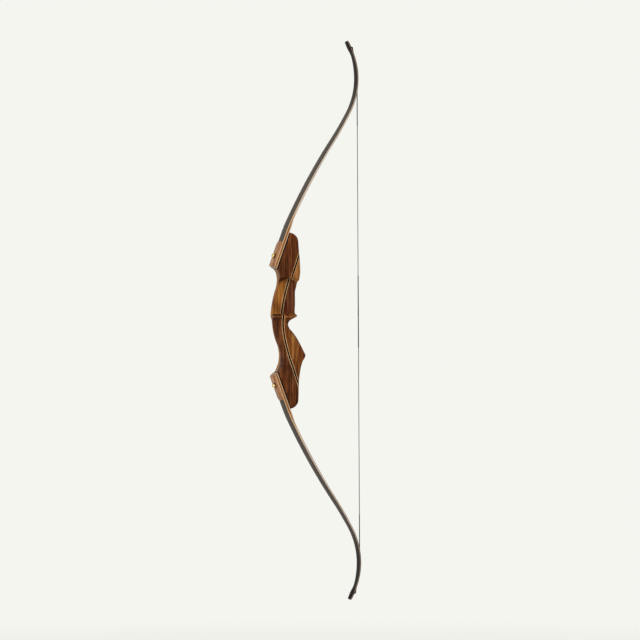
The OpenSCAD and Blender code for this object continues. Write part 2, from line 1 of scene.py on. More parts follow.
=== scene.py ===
"""Looks of a takedown recurve bow: laminated riser, two bolted limbs and a served string."""
from math import atan2, ceil, cos, pi, radians, sin, sqrt, tan

import bmesh
import bpy
import numpy as np
from mathutils import Matrix, Vector


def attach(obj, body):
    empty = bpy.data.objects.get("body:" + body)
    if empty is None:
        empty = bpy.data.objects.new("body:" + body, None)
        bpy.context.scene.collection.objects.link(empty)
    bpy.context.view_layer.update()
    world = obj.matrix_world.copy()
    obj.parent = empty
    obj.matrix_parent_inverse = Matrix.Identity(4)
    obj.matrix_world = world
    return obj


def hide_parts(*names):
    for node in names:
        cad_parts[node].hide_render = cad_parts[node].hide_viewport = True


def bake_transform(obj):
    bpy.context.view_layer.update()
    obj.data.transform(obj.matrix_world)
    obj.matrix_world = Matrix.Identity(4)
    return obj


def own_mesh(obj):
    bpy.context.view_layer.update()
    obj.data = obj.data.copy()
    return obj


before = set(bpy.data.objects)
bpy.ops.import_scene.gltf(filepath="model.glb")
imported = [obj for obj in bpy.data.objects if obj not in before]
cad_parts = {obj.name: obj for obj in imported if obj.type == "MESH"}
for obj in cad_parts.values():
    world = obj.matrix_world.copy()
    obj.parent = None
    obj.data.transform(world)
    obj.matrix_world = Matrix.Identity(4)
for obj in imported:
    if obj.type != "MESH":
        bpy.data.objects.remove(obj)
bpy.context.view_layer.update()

MM = 0.001

# Riser, in millimetres: the same driving sizes as the solids
RISER_LEN = 476
RISER_W = 46
BOW_MID = 10.5
UPPER_BELLY = 31
LOWER_BELLY = 26
TAIL_ROUND = 22
EDGE_R = 5
GRIP_W = 31
PALM_W = 35
GRIP_DEPTH = 42.5
HEEL_DROP = 84
HEEL_REACH = 47
GRIP_ROUND = 0.82
SHELF_Z = 29
WINDOW_TOP = 126
WINDOW_PAST = 2.5
ROOF_R = 60
ROOF_FROM = -2
SHELF_FALL = 8
SCOOP_MID = 4
SCOOP_EDGE = 26
LEDGE_REACH = 22.5
DARK_T = 5
PALE_T = 1.2
STRIPE_FRONT = 17.3
STRIPE_LEAN = 0.4
STRIPE_BEND = 90
STRIPE_Z = 8
PAD_ANGLE = radians(20)
PROUD = 8

# Limbs
BUTT_LEN = 104
BUTT_SLANT = radians(25)
LIMB_W = 46
RECURVE_W = 29
NOCK_W = 20
LIMB_T = 9.5
FADE_T = 6.6
TIP_T = 4.5
GLASS_T = 1
GROOVE_FACING = 2.2
NOCK_FROM_TIP = 19
OVERLAY_T = 2.5
OVERLAY_LEN = 76
OVERLAY_FEATHER = 10
TIP_OVERLAY_T = 3.4
TIP_SLOT = 2.4
TIP_OVERLAY_LEN = 40
LIMB_BENDS = ((30, 25.5), (250, 33.5), (90, 28), (156, -17), (45, -28))
FLEX_S = 12
FADE_LEN = 28
THIN_S = 250
NARROW_S = 230
NOTCH_SLANT = radians(20)
NOTCH_ROOM = 0.35

VOXEL, VOXEL_QUICK = 0.9, 1.6
EASING, EASING_QUICK = 5, 3

# Bolts, pins and washers
BOLT_D = 8
BOLT_LEAD = 1.25
BOLT_THREAD = 0.65
HEAD_D = 12.6
HEAD_H = 6.5
SOCKET_AF = 5
WASHER_D = 15.6
WASHER_T = 1.6
BOLT_FROM_BUTT = 32
THREAD_LEN = 20
INSERT_D = 12
PIN_D = 6
PIN_GAP = 20
PIN_IN_RISER = 12
PIN_IN_LIMB = 5
CLEAR = 0.3

# String
STRING_R = 1.1
STRANDS = 6
STRING_LAY = 22  # length of one turn of the strands
SERVING_R = 1.45
END_SERVING_R = SERVING_R - 0.1
NOCKING_SERVING_R = SERVING_R + 0.12
NOCK_Z = 34
CENTRE_SERVING = 196
END_SERVING = 100
NOCKING_HALF = 13.5
LIFT_GAP = 30
STRAND_INSIDE = 6  # how far the strand runs into the end serving
THREAD_PITCH = 0.6
THREAD_DEPTH = 0.12

# What follows from these sizes
BIG = 200
HALF = RISER_LEN / 2
RISER_TOP = BOW_MID + HALF
RISER_FOOT = BOW_MID - HALF
PAD_SIN, PAD_COS = sin(PAD_ANGLE), cos(PAD_ANGLE)
PAD_FROM = HALF - BUTT_LEN * PAD_COS
PAD_FROM_X = -BUTT_LEN * PAD_SIN
PAD_TOP_Z = BOW_MID + PAD_FROM
PAD_LOW_Z = BOW_MID - PAD_FROM
LIMB_LEN = sum(length for length, _ in LIMB_BENDS)
RECURVE_S = LIMB_LEN - 101
NOCK_S = LIMB_LEN - NOCK_FROM_TIP
FORK_S = NOCK_S - 16
GROOVE_LEFT = FORK_S - 9  # where the end serving stops and the loop's legs leave the groove
NOTCH_Y = NOCK_W / 2 - 1
TIP_FROM = LIMB_LEN - TIP_OVERLAY_LEN
BOLT_S = BOLT_FROM_BUTT - BUTT_LEN
STRIPE_HALF = DARK_T / 2 + PALE_T
SCOOP_RUN = RISER_W / 2 + WINDOW_PAST - 3
SCOOP_FOOT = WINDOW_TOP - 36
SCOOP_BACK = -42
SIDES = {"upper": 1, "lower": -1}
WAVE_PERIOD = 0.1 * pi  # of Blender's wave texture, at a scale of 1
RING_GAP = 6.5
WARM_TINT = (1.0, 0.72, 0.5, 1.0)

# A length along the limbs, from which make_limb works out an end point that nothing uses
BEND_TO = 320

# Camera, floor and light. From here on, places are in metres and powers in watts.
PHOTO_PX = 640
PX_PER_MM = 0.3694
VIEW_AZIMUTH = radians(16.2)
VIEW_LEAN = 0.0055
VIEW_DISTANCE = 12.0
VIEW_CENTRE = (91.0, 0.0, 11.7)  # in millimetres
SENSOR = 36.0
BACKDROP = (245, 245, 240)
FLOOR_Z = -0.95
FLOOR_FADE = (1.2, 2.4)  # distance from the middle over which the floor fades out
FLOOR_GLOW = 0.85
AMBIENT = 0.5
LAMP_AIM = (0.05, 0.0, 0.0)
LAMPS = (
    # name, place, width and height, power
    ("key", (-1.9, -2.5, 1.3), (1.0, 1.0), 84),
    ("left", (-2.6, -0.5, -1.4), (1.0, 1.2), 34),
    ("right", (2.5, -1.2, 1.3), (1.0, 1.6), 14),
)


def clamp01(t):
    return np.clip(t, 0.0, 1.0)


def smooth(t):
    c = clamp01(t)
    return c * c * (3 - 2 * c)


def ramp(v, low, high, a, b):
    return a + (b - a) * smooth((v - low) / (high - low))


def curve(points, z):
    """Smooth curve through [z, value] points that doesn't overshoot between them."""
    p = np.array(points, float)
    h = np.diff(p[:, 0])
    chord = np.diff(p[:, 1]) / h
    slope = np.empty(len(p))
    slope[0], slope[-1] = chord[0], chord[-1]
    a, b = chord[:-1], chord[1:]
    total = np.where(a + b == 0, 1, a + b)
    slope[1:-1] = np.where(a * b <= 0, 0, 2 * a * b / total)
    z = np.asarray(z, float)
    i = np.clip(np.searchsorted(p[:, 0], z, side="right") - 1, 0, len(h) - 1)
    t = clamp01((z - p[i, 0]) / h[i])
    m0, m1 = slope[i] * h[i], slope[i + 1] * h[i]
    start = (2 * t**3 - 3 * t**2 + 1) * p[i, 1] + (t**3 - 2 * t**2 + t) * m0
    return start + (3 * t**2 - 2 * t**3) * p[i + 1, 1] + (t**3 - t**2) * m1


# Outline of the riser seen from the side, as [z, x] points
BELLY_LINE = [
    [RISER_FOOT, LOWER_BELLY - 2.4], [-160, LOWER_BELLY - 0.6],
    [-HEEL_DROP - 34, LOWER_BELLY + 4.8], [-HEEL_DROP - 17, LOWER_BELLY + 11],
    [-HEEL_DROP - 7, HEEL_REACH - 3.2], [-HEEL_DROP, HEEL_REACH],
    [-HEEL_DROP + 12, HEEL_REACH - 4.7],
    [-50, 31.8], [-30, 20], [-20, 12], [-9, 3], [0, 0], [6, 1.5], [11, 5.5], [15, 11], [18, 16.5],
    [SHELF_Z - 7, LEDGE_REACH - 0.5], [SHELF_Z - 4, LEDGE_REACH], [SHELF_Z + 6, LEDGE_REACH - 1.5],
    [62, 22.2], [86, 22], [104, 26], [124, 28.5], [142, UPPER_BELLY],
    [176, UPPER_BELLY - 1.2], [200, UPPER_BELLY - 3.6], [RISER_TOP, UPPER_BELLY - 6],
]
BACK_LINE = [
    [PAD_LOW_Z, PAD_FROM_X], [PAD_LOW_Z + 4.5, PAD_FROM_X + 4.4],
    [PAD_LOW_Z + 14, PAD_FROM_X + 8.6], [PAD_LOW_Z + 27, PAD_FROM_X + 12.6],
    [-84, -22.4], [-62, -26], [-38, -GRIP_DEPTH + 7.5], [-14, -GRIP_DEPTH + 1.7], [0, -GRIP_DEPTH],
    [22, -GRIP_DEPTH - 1.2], [38, -GRIP_DEPTH + 0.2], [60, -38.9], [82, -33.8], [104, -27],
    [PAD_TOP_Z - 29, PAD_FROM_X + 10.8], [PAD_TOP_Z - 13, PAD_FROM_X + 8.4],
    [PAD_TOP_Z - 5, PAD_FROM_X + 5], [PAD_TOP_Z, PAD_FROM_X],
]
# The riser's width, and how round its section is, against z
WIDTH_LINE = [
    [RISER_FOOT, RISER_W - 7], [RISER_FOOT + 45, RISER_W], [PAD_LOW_Z + 12, RISER_W],
    [-HEEL_DROP - 6, RISER_W - 8], [-48, PALM_W], [-12, GRIP_W + 0.6], [2, GRIP_W],
    [12, GRIP_W + 2], [21, RISER_W - 5], [40, RISER_W - 3], [110, RISER_W - 2],
    [PAD_TOP_Z, RISER_W], [RISER_TOP - 45, RISER_W], [RISER_TOP, RISER_W - 7],
]
ROUND_LINE = [
    [-HEEL_DROP - 36, 0], [-HEEL_DROP, 0.55], [-40, GRIP_ROUND], [8, GRIP_ROUND],
    [24, 0.2], [36, 0],
]


def riser_outline(z):
    """The riser's front and rear x, half width and corner radius at heights z."""
    past_pad = np.abs(z - BOW_MID) - PAD_FROM
    pad_x = (np.abs(z - BOW_MID) - HALF) * PAD_SIN / PAD_COS
    tail = clamp01(1 - np.minimum(RISER_TOP - z, z - RISER_FOOT) / TAIL_ROUND)
    belly = pad_x + (curve(BELLY_LINE, z) - pad_x) * np.sqrt(1 - tail**2)
    on_pad = PAD_FROM_X + past_pad * PAD_SIN / PAD_COS - np.minimum(PROUD, 1.5 * past_pad)
    back = np.where(past_pad <= 0, curve(BACK_LINE, z), on_pad)
    half = curve(WIDTH_LINE, z) / 2
    least = np.minimum((belly - back) / 2, half)
    radius = np.minimum(least * 0.96, np.maximum(EDGE_R, least * curve(ROUND_LINE, z)))
    return back, belly, half, radius


def riser_rings(gap=1.5, corner_steps=12):
    """Rounded sections of the riser from its foot to its top."""
    turn = np.radians(np.arange(0, 90, 7.5))
    tail = TAIL_ROUND * (1 - np.cos(turn))
    middle = np.arange(RISER_FOOT + TAIL_ROUND, RISER_TOP - TAIL_ROUND, gap)
    z = np.concatenate([RISER_FOOT + tail, middle, RISER_TOP - tail[::-1]])
    back, belly, half, radius = riser_outline(z)
    columns = []
    for q in range(4):
        for j in range(corner_steps + 1):
            a = radians(q * 90 + j * 90 / corner_steps)
            x = (belly - radius if q in (0, 3) else back + radius) + radius * cos(a)
            y = (half - radius if q < 2 else radius - half) + radius * sin(a)
            columns.append(np.stack([x, y, z], axis=-1))
    return np.stack(columns, axis=1)


# The limb: a point of its back face at a length s past the riser, and its section there
def limb_line(s):
    """x, height over the bow's middle and lean (radians) of the back face at lengths s."""
    s = np.asarray(s, float)
    x = np.full_like(s, -LIMB_T * PAD_COS)
    height = np.full_like(s, HALF + LIMB_T * PAD_SIN)
    lean = np.full_like(s, PAD_ANGLE)
    before = np.minimum(s, 0)
    x, height = x + before * PAD_SIN, height + before * PAD_COS
    start, from_lean = 0.0, PAD_ANGLE
    for length, to_degrees in LIMB_BENDS:
        to_lean = radians(to_degrees)
        part = np.clip(s - start, 0, length)
        radius = length / (to_lean - from_lean)
        here = from_lean + (to_lean - from_lean) * part / length
        x = x + radius * (cos(from_lean) - np.cos(here))
        height = height + radius * (np.sin(here) - sin(from_lean))
        lean = np.where(s > start, here, lean)
        start, from_lean = start + length, to_lean
    return x, height, lean


def limb_point(side, s, y, n):
    """Points in the bow's frame, in millimetres: n is the depth in from the back face."""
    x, height, lean = limb_line(s)
    z = BOW_MID + side * (height - n * np.sin(lean))
    return np.stack(np.broadcast_arrays(x + n * np.cos(lean), y, z), axis=-1)


def limb_thickness(s):
    fade_end = FLEX_S + FADE_LEN
    root = ramp(s, FLEX_S, fade_end, LIMB_T, FADE_T)
    thinner = clamp01((s - fade_end) / (THIN_S - fade_end))
    return np.where(s < fade_end, root, FADE_T + (TIP_T - FADE_T) * thinner)


def limb_width(s):
    taper = ramp(s, NARROW_S, RECURVE_S, LIMB_W, RECURVE_W)
    taper = np.where(s < RECURVE_S, taper, ramp(s, RECURVE_S, NOCK_S, RECURVE_W, NOCK_W))
    tip = np.sqrt(np.maximum(0.09, 1 - (np.maximum(s - NOCK_S, 0) / NOCK_FROM_TIP) ** 4))
    return taper * tip


# The curl's crest, where the limb stands upright
CURL_FROM = LIMB_BENDS[2][1]
CURL_LEN, CURL_TO = LIMB_BENDS[3]
CREST_S = sum(length for length, _ in LIMB_BENDS[:3]) + CURL_LEN * CURL_FROM / (CURL_FROM - CURL_TO)
GROOVE_FROM = CREST_S - 32
GROOVE_DEPTH = STRING_R + 0.4
GROOVE_HALF = STRING_R + 0.5


def groove_at(s):
    return GROOVE_DEPTH * smooth((s - GROOVE_FROM) / 24) * smooth((FORK_S + 4 - s) / 10)


def belly_facing(s):
    return ramp(s, CREST_S - 120, CREST_S - 40, GLASS_T, GROOVE_FACING)


def string_depth(s):
    return limb_thickness(s) + STRING_R + CLEAR - groove_at(s)


def notch_lean(n):
    return NOCK_S + (TIP_T / 2 - n) * tan(NOTCH_SLANT)


CREST = limb_point(1, CREST_S, 0, string_depth(CREST_S))
STRING_X = float(CREST[0])
LIFT = float(CREST[2]) - BOW_MID
BELLY_N = TIP_T + SERVING_R + CLEAR
OVER_N = TIP_SLOT - TIP_OVERLAY_T - SERVING_R - CLEAR
PIVOT = limb_point(1, notch_lean(BELLY_N), 0, BELLY_N)


# Mesh tools. They take millimetres and make objects in metres.
def face_outwards(mesh):
    shaped = bmesh.new()
    shaped.from_mesh(mesh)
    bmesh.ops.recalc_face_normals(shaped, faces=shaped.faces)
    shaped.to_mesh(mesh)
    shaped.free()


def in_scene(name, data):
    obj = bpy.data.objects.new(name, data)
    bpy.context.scene.collection.objects.link(obj)
    return obj


def new_object(name, vertices, faces, materials=(), face_materials=None):
    mesh = bpy.data.meshes.new(name)
    mesh.from_pydata((np.asarray(vertices, float) * MM).tolist(), [], faces)
    for material in materials:
        mesh.materials.append(material)
    if face_materials is not None:
        mesh.polygons.foreach_set("material_index", np.asarray(face_materials, np.int32))
    face_outwards(mesh)
    return in_scene(name, mesh)


def loft(name, rings, materials=(), column_materials=None, closed=False):
    """Closed solid through rings of points, one material index for each strip between columns."""
    rings = np.asarray(rings, float)
    m, n = rings.shape[:2]
    rows = m if closed else m - 1
    row, column = np.meshgrid(np.arange(rows), np.arange(n), indexing="ij")
    this, above, following = row * n, (row + 1) % m * n, (column + 1) % n
    quads = np.stack([this + column, above + column, above + following, this + following], axis=-1)
    faces = quads.reshape(-1, 4).tolist()
    if not closed:
        faces += [list(range(n)), list(range((m - 1) * n, m * n))]
    indices = None
    if column_materials is not None:
        indices = np.concatenate([np.tile(column_materials, rows), [0, 0]])
    return new_object(name, rings.reshape(-1, 3), faces, materials, indices)


def prism(name, outline, low, high, along_x=False):
    """Extrusion of an outline in x and z along Y, or of one in y and z along X."""
    rings = [[(end, a, b) if along_x else (a, end, b) for a, b in outline] for end in (low, high)]
    return loft(name, rings)


def slab(name, x, z, y=(-BIG, BIG)):
    """Box from its least and greatest x, z and y."""
    return prism(name, [(x[0], z[0]), (x[1], z[0]), (x[1], z[1]), (x[0], z[1])], *y)


def remove(*objects):
    for obj in objects:
        mesh = obj.data
        bpy.data.objects.remove(obj)
        bpy.data.meshes.remove(mesh)


def bake(obj):
    """Replaces the mesh by what its modifiers make of it."""
    graph = bpy.context.evaluated_depsgraph_get()
    shaped = bpy.data.meshes.new_from_object(obj.evaluated_get(graph), depsgraph=graph)
    obj.modifiers.clear()
    old, name = obj.data, obj.data.name
    obj.data = shaped
    bpy.data.meshes.remove(old)
    shaped.name = name


def modify(obj, kind, **settings):
    modifier = obj.modifiers.new(kind.lower(), kind)
    for key, value in settings.items():
        setattr(modifier, key, value)


def carve(obj, *cutters, operation="DIFFERENCE"):
    for cutter in cutters:
        modify(obj, "BOOLEAN", solver="MANIFOLD", operation=operation, object=cutter)
        bake(obj)


def cut(obj, *cutters, operation="DIFFERENCE"):
    """Carves with solids that are used once."""
    carve(obj, *cutters, operation=operation)
    remove(*cutters)


def shade(obj, angle=35):
    obj.data.polygons.foreach_set("use_smooth", np.ones(len(obj.data.polygons), bool))
    obj.data.set_sharp_from_angle(angle=radians(angle))
    return obj


def keep_grain(obj, values):
    """Stores each point's place along, across and through the piece, in metres, for the grain."""
    attribute = obj.data.attributes.new("grain", "FLOAT_VECTOR", "POINT")
    attribute.data.foreach_set("vector", (np.asarray(values, np.float32) * MM).ravel())


def axes_at(place, *axes):
    return Matrix.Translation(place) @ Matrix(axes).transposed().to_4x4()


def pad_matrix(side, s=0.0):
    """The pad's own frame, in metres: X along the limb, Z out of the back of the bow."""
    along = Vector((PAD_SIN, 0, side * PAD_COS))
    out = Vector((-PAD_COS, 0, side * PAD_SIN))
    place = Vector((s * PAD_SIN, 0, BOW_MID + side * (HALF + s * PAD_COS))) * MM
    return axes_at(place, along, out.cross(along), out)


def full_turn(steps):
    return np.linspace(0, 2 * pi, steps, endpoint=False)


def cylinder(name, radius, low, high, sides=48):
    turn = full_turn(sides)
    circle = np.stack([radius * np.cos(turn), radius * np.sin(turn)], axis=-1)
    return loft(name, [[(x, y, z) for x, y in circle] for z in (low, high)])


def placed(obj, matrix):
    obj.data.transform(matrix)
    obj.data.update()
    return obj


def drills(side, bolt, pin):
    """What drills one pad, as solids: bolt and pin are each a radius and two ends."""
    holes = (BOLT_S, bolt), (BOLT_S - PIN_GAP, pin), (BOLT_S + PIN_GAP, pin)
    return [placed(cylinder("drill", *sizes), pad_matrix(side, s)) for s, sizes in holes]


# Materials
def srgb(red, green, blue):
    """A colour as it reads on screen, from 0 to 255, in Blender's linear values."""
    shares = [c / 255 for c in (red, green, blue)]
    linear = [c / 12.92 if c <= 0.04045 else ((c + 0.055) / 1.055) ** 2.4 for c in shares]
    return (*linear, 1.0)


class Nodes:
    """Short names for building a node tree. Its patterns follow the object or an attribute."""

    def __init__(self, name, attribute=None, owner=None):
        self.attribute = attribute
        self.material = owner or bpy.data.materials.new(name)
        self.material.use_nodes = True
        self.tree = self.material.node_tree
        self.shader = self.tree.nodes.get("Principled BSDF")

    def add(self, kind, settings=None, **inputs):
        node = self.tree.nodes.new("ShaderNode" + kind)
        for key, value in (settings or {}).items():
            setattr(node, key, value)
        for key, value in inputs.items():
            numbered = key[0] == "i" and key[1:].isdigit()
            self.plug(node.inputs[int(key[1:]) if numbered else key], value)
        return node

    def plug(self, socket, value):
        if isinstance(value, bpy.types.NodeSocket):
            self.tree.links.new(value, socket)
        else:
            is_colour = socket.type == "RGBA" and len(value) == 3
            socket.default_value = srgb(*value) if is_colour else value

    def where(self, scale, turn=(0, 0, 0), move=(0, 0, 0)):
        """Coordinates of the surface in metres, scaled and moved."""
        if self.attribute:
            settings = {"attribute_name": self.attribute}
            source = self.add("Attribute", settings).outputs["Vector"]
        else:
            source = self.add("TexCoord").outputs["Object"]
        return self.add("Mapping", i0=source, i1=move, i2=turn, i3=scale).outputs[0]

    def axes(self):
        return self.add("SeparateXYZ", i0=self.where((1, 1, 1))).outputs

    def noise(self, scale, detail=4.0, roughness=0.5, distortion=0.0, move=(0, 0, 0)):
        values = {"Detail": detail, "Roughness": roughness, "Distortion": distortion}
        place = self.where(scale, move=move)
        return self.add("TexNoise", Vector=place, Scale=1.0, **values).outputs["Fac"]

    def math(self, operation, a, b=0.5):
        return self.add("Math", {"operation": operation}, i0=a, i1=b).outputs[0]

    def times(self, a, b):
        return self.math("MULTIPLY", a, b)

    def minus(self, a, b):
        return self.math("SUBTRACT", a, b)

    def total(self, a, b):
        return self.math("ADD", a, b)

    def spread(self, value, low, high, to_low=0.0, to_high=1.0):
        settings = {"clamp": True, "interpolation_type": "SMOOTHSTEP"}
        limits = dict(i1=low, i2=high, i3=to_low, i4=to_high)
        return self.add("MapRange", settings, i0=value, **limits).outputs[0]

    def ramp(self, value, *stops):
        node = self.add("ValToRGB", i0=value)
        elements = node.color_ramp.elements
        while len(elements) < len(stops):
            elements.new(0.5)
        for element, (position, colour) in zip(elements, stops):
            element.position = position
            element.color = srgb(*colour)
        return node.outputs[0]

    def blend(self, factor, a, b, how="MIX"):
        settings = {"data_type": "RGBA", "blend_type": how}
        return self.add("Mix", settings, i0=factor, i6=a, i7=b).outputs[2]

    def bump(self, height, distance, strength=1.0):
        node = self.add("Bump", Height=height, Distance=distance, Strength=strength)
        self.plug(self.shader.inputs["Normal"], node.outputs[0])

    def uneven(self, pattern, share, middle):
        """A roughness round its middle value, moved up and down by a pattern from 0 to 1."""
        return self.total(self.times(pattern, share), middle - share / 2)

    def finish(self, colour, roughness, specular=0.5, metallic=0.0):
        sockets = "Base Color", "Roughness", "Specular IOR Level", "Metallic"
        for key, value in zip(sockets, (colour, roughness, specular, metallic)):
            self.plug(self.shader.inputs[key], value)
        return self.material


def wood(name, shades, pith, figure=1.0, marks="", attribute=None):
    """Lacquered wood: growth rings round a pith, soft clouds, streaks, fibres and pores."""
    n = Nodes(name, attribute)
    dark, mid, light = shades

    def drawn_out(across, along):
        return (along, across, across) if attribute else (across, across, along)

    rings = n.add(
        "TexWave",
        {"wave_type": "RINGS", "rings_direction": "X" if attribute else "Z", "wave_profile": "SIN"},
        Vector=n.where(drawn_out(1.0, 0.12), (0.05, 0.09, 0.0), pith),
        Scale=WAVE_PERIOD / (RING_GAP * MM),
        Distortion=9.0,
        Detail=4.0,
    )
    n.plug(rings.inputs["Detail Scale"], 0.3)
    cloud = n.noise(drawn_out(30, 9), 3.0, 0.55, 0.6, pith)
    streak = n.noise(drawn_out(150, 7), 5.0, 0.62, 0.3, pith)
    fibre = n.noise(drawn_out(900, 30), 3.0, 0.6)
    pore = n.noise(drawn_out(2300, 120), 1.0)
    tone = n.times(rings.outputs["Fac"], 0.16)
    for part, low, share in ((cloud, 0.3, 0.36), (streak, 0.3, 0.32), (fibre, 0.25, 0.16)):
        tone = n.total(tone, n.times(n.spread(part, low, 1 - low), share))
    tone = n.total(n.times(n.minus(tone, 0.5), figure), 0.5)
    colour = n.ramp(tone, (0.16, dark), (0.5, mid), (0.84, light))
    glow = n.noise(drawn_out(16, 5), 2.0, 0.5, 0.5, (0.4, 0.2, 0.7))
    colour = n.blend(n.spread(glow, 0.42, 0.66, 0.0, 0.6), colour, WARM_TINT, "MULTIPLY")
    pits = n.spread(pore, 0.62, 0.72)
    colour = n.blend(n.times(pits, 0.5), colour, dark, "MULTIPLY")
    if "seat" in marks:
        # A near-black band on the riser along the seat of each limb, beside the joint
        x, _, z = n.axes()
        height = n.math("ABSOLUTE", n.minus(z, BOW_MID * MM))
        height = n.times(n.minus(height, HALF * MM), PAD_SIN)
        level = n.minus(height, n.times(x, PAD_COS))
        colour = n.blend(n.spread(level, -0.0044, -0.0026), colour, (18, 8, 4))
    if "rim" in marks:
        # A painted highlight along the arrow shelf's rim, where its rounded edge would catch the
        # light
        height = n.axes()[2]
        top = (SHELF_Z - SHELF_FALL * 0.6) * MM
        rim_highlight = n.spread(height, top - 0.006, top - 0.003)
        rim_highlight = n.times(rim_highlight, n.spread(height, top, top - 0.002))
        rim_highlight = n.times(rim_highlight, n.spread(cloud, 0.35, 0.65, 0.25, 0.7))
        colour = n.blend(rim_highlight, colour, (164, 104, 64))
    rough = n.uneven(streak, 0.2, 0.42)
    n.bump(n.minus(n.times(fibre, 0.6), pits), 0.00006, 0.25)
    return n.finish(colour, rough, specular=0.06)


def fibreglass(name, base, deep, tip, thin_from, thin_to):
    """Lengthwise glass fibres under satin lacquer, darker where the limb runs out to its tip."""
    n = Nodes(name, "grain")
    along = n.axes()[0]
    fibres = n.noise((14, 2200, 2200), 3.0, 0.6)
    cloud = n.noise((9, 45, 45), 2.0)
    tone = n.total(n.times(fibres, 0.5), n.times(cloud, 0.5))
    body = n.ramp(tone, (0.35, deep), (0.65, base))
    colour = n.blend(n.spread(along, thin_from, thin_to), body, tip)
    n.bump(fibres, 0.00003, 0.12)
    return n.finish(colour, n.uneven(cloud, 0.14, 0.5), specular=0.05)


def core_material(name):
    """Edge of the limb's core: thin maple laminations, and a brown wedge between at the root."""
    n = Nodes(name, "grain")
    along, _, depth = n.axes()
    grain = n.noise((10, 900, 900), roughness=0.6)
    warm_maple = n.ramp(grain, (0.3, (166, 132, 96)), (0.7, (210, 182, 146)))
    grey_maple = n.ramp(grain, (0.3, (150, 132, 116)), (0.7, (194, 178, 162)))
    maple = n.blend(n.spread(along, 0.03, 0.12), warm_maple, grey_maple)
    brown = n.ramp(grain, (0.3, (92, 48, 14)), (0.7, (152, 92, 34)))
    # The wedge thins out to nothing past the end of the riser
    wedge_half = n.spread(along, -0.01, 0.066, 0.0023, 0.0)
    middle = n.spread(along, 0.012, 0.066, 0.00475, 0.0029)
    off = n.math("ABSOLUTE", n.minus(depth, middle))
    colour = n.blend(n.math("LESS_THAN", off, wedge_half), maple, brown)
    colour = n.blend(n.spread(along, 0.34, 0.46), colour, (108, 92, 78))
    n.bump(grain, 0.00006, 0.3)
    return n.finish(colour, 0.45, specular=0.15)


def metal(name, colour, worn, roughness, turned=False):
    """Metal with fine machining marks and slight tarnish."""
    n = Nodes(name)
    marks = n.noise((300, 300, 4200) if turned else (900, 900, 900), 3.0, 0.6)
    stain = n.noise((120, 120, 120), roughness=0.6)
    shade_of = n.ramp(n.spread(stain, 0.35, 0.75), (0.0, colour), (1.0, worn))
    n.bump(marks, 0.00004, 0.25)
    return n.finish(shade_of, n.uneven(marks, 0.22, roughness), metallic=1.0)


def thread(name, dark, light):
    """Waxed thread: fine strands with a soft sheen."""
    n = Nodes(name, "grain")
    strands = n.noise((700, 2400, 2400), 3.0, 0.65)
    wax = n.noise((60, 200, 200), 2.0)
    tone = n.total(n.times(strands, 0.7), n.times(wax, 0.3))
    colour = n.ramp(tone, (0.3, dark), (0.72, light))
    n.bump(strands, 0.00008, 0.5)
    return n.finish(colour, n.uneven(wax, 0.2, 0.62), specular=0.15)


def glass_edge(name):
    """Cut edge of the clear glass facing: pale, faintly lined along its length."""
    n = Nodes(name, "grain")
    along = n.axes()[0]
    lines = n.noise((16, 1800, 1800), 3.0, 0.6)
    pale = n.ramp(lines, (0.3, (170, 148, 124)), (0.7, (212, 194, 170)))
    colour = n.blend(n.spread(along, 0.34, 0.46), pale, (108, 94, 80))
    n.bump(lines, 0.00004, 0.3)
    return n.finish(colour, 0.42, specular=0.15)


def black_tip(name):
    """Black tip overlay under satin lacquer, its tone varying in soft clouds."""
    n = Nodes(name, "grain")
    cloud = n.noise((30, 300, 300), roughness=0.6)
    colour = n.ramp(cloud, (0.3, (8, 6, 5)), (0.8, (24, 20, 18)))
    n.bump(cloud, 0.00005, 0.3)
    return n.finish(colour, n.uneven(cloud, 0.2, 0.5), specular=0.05)


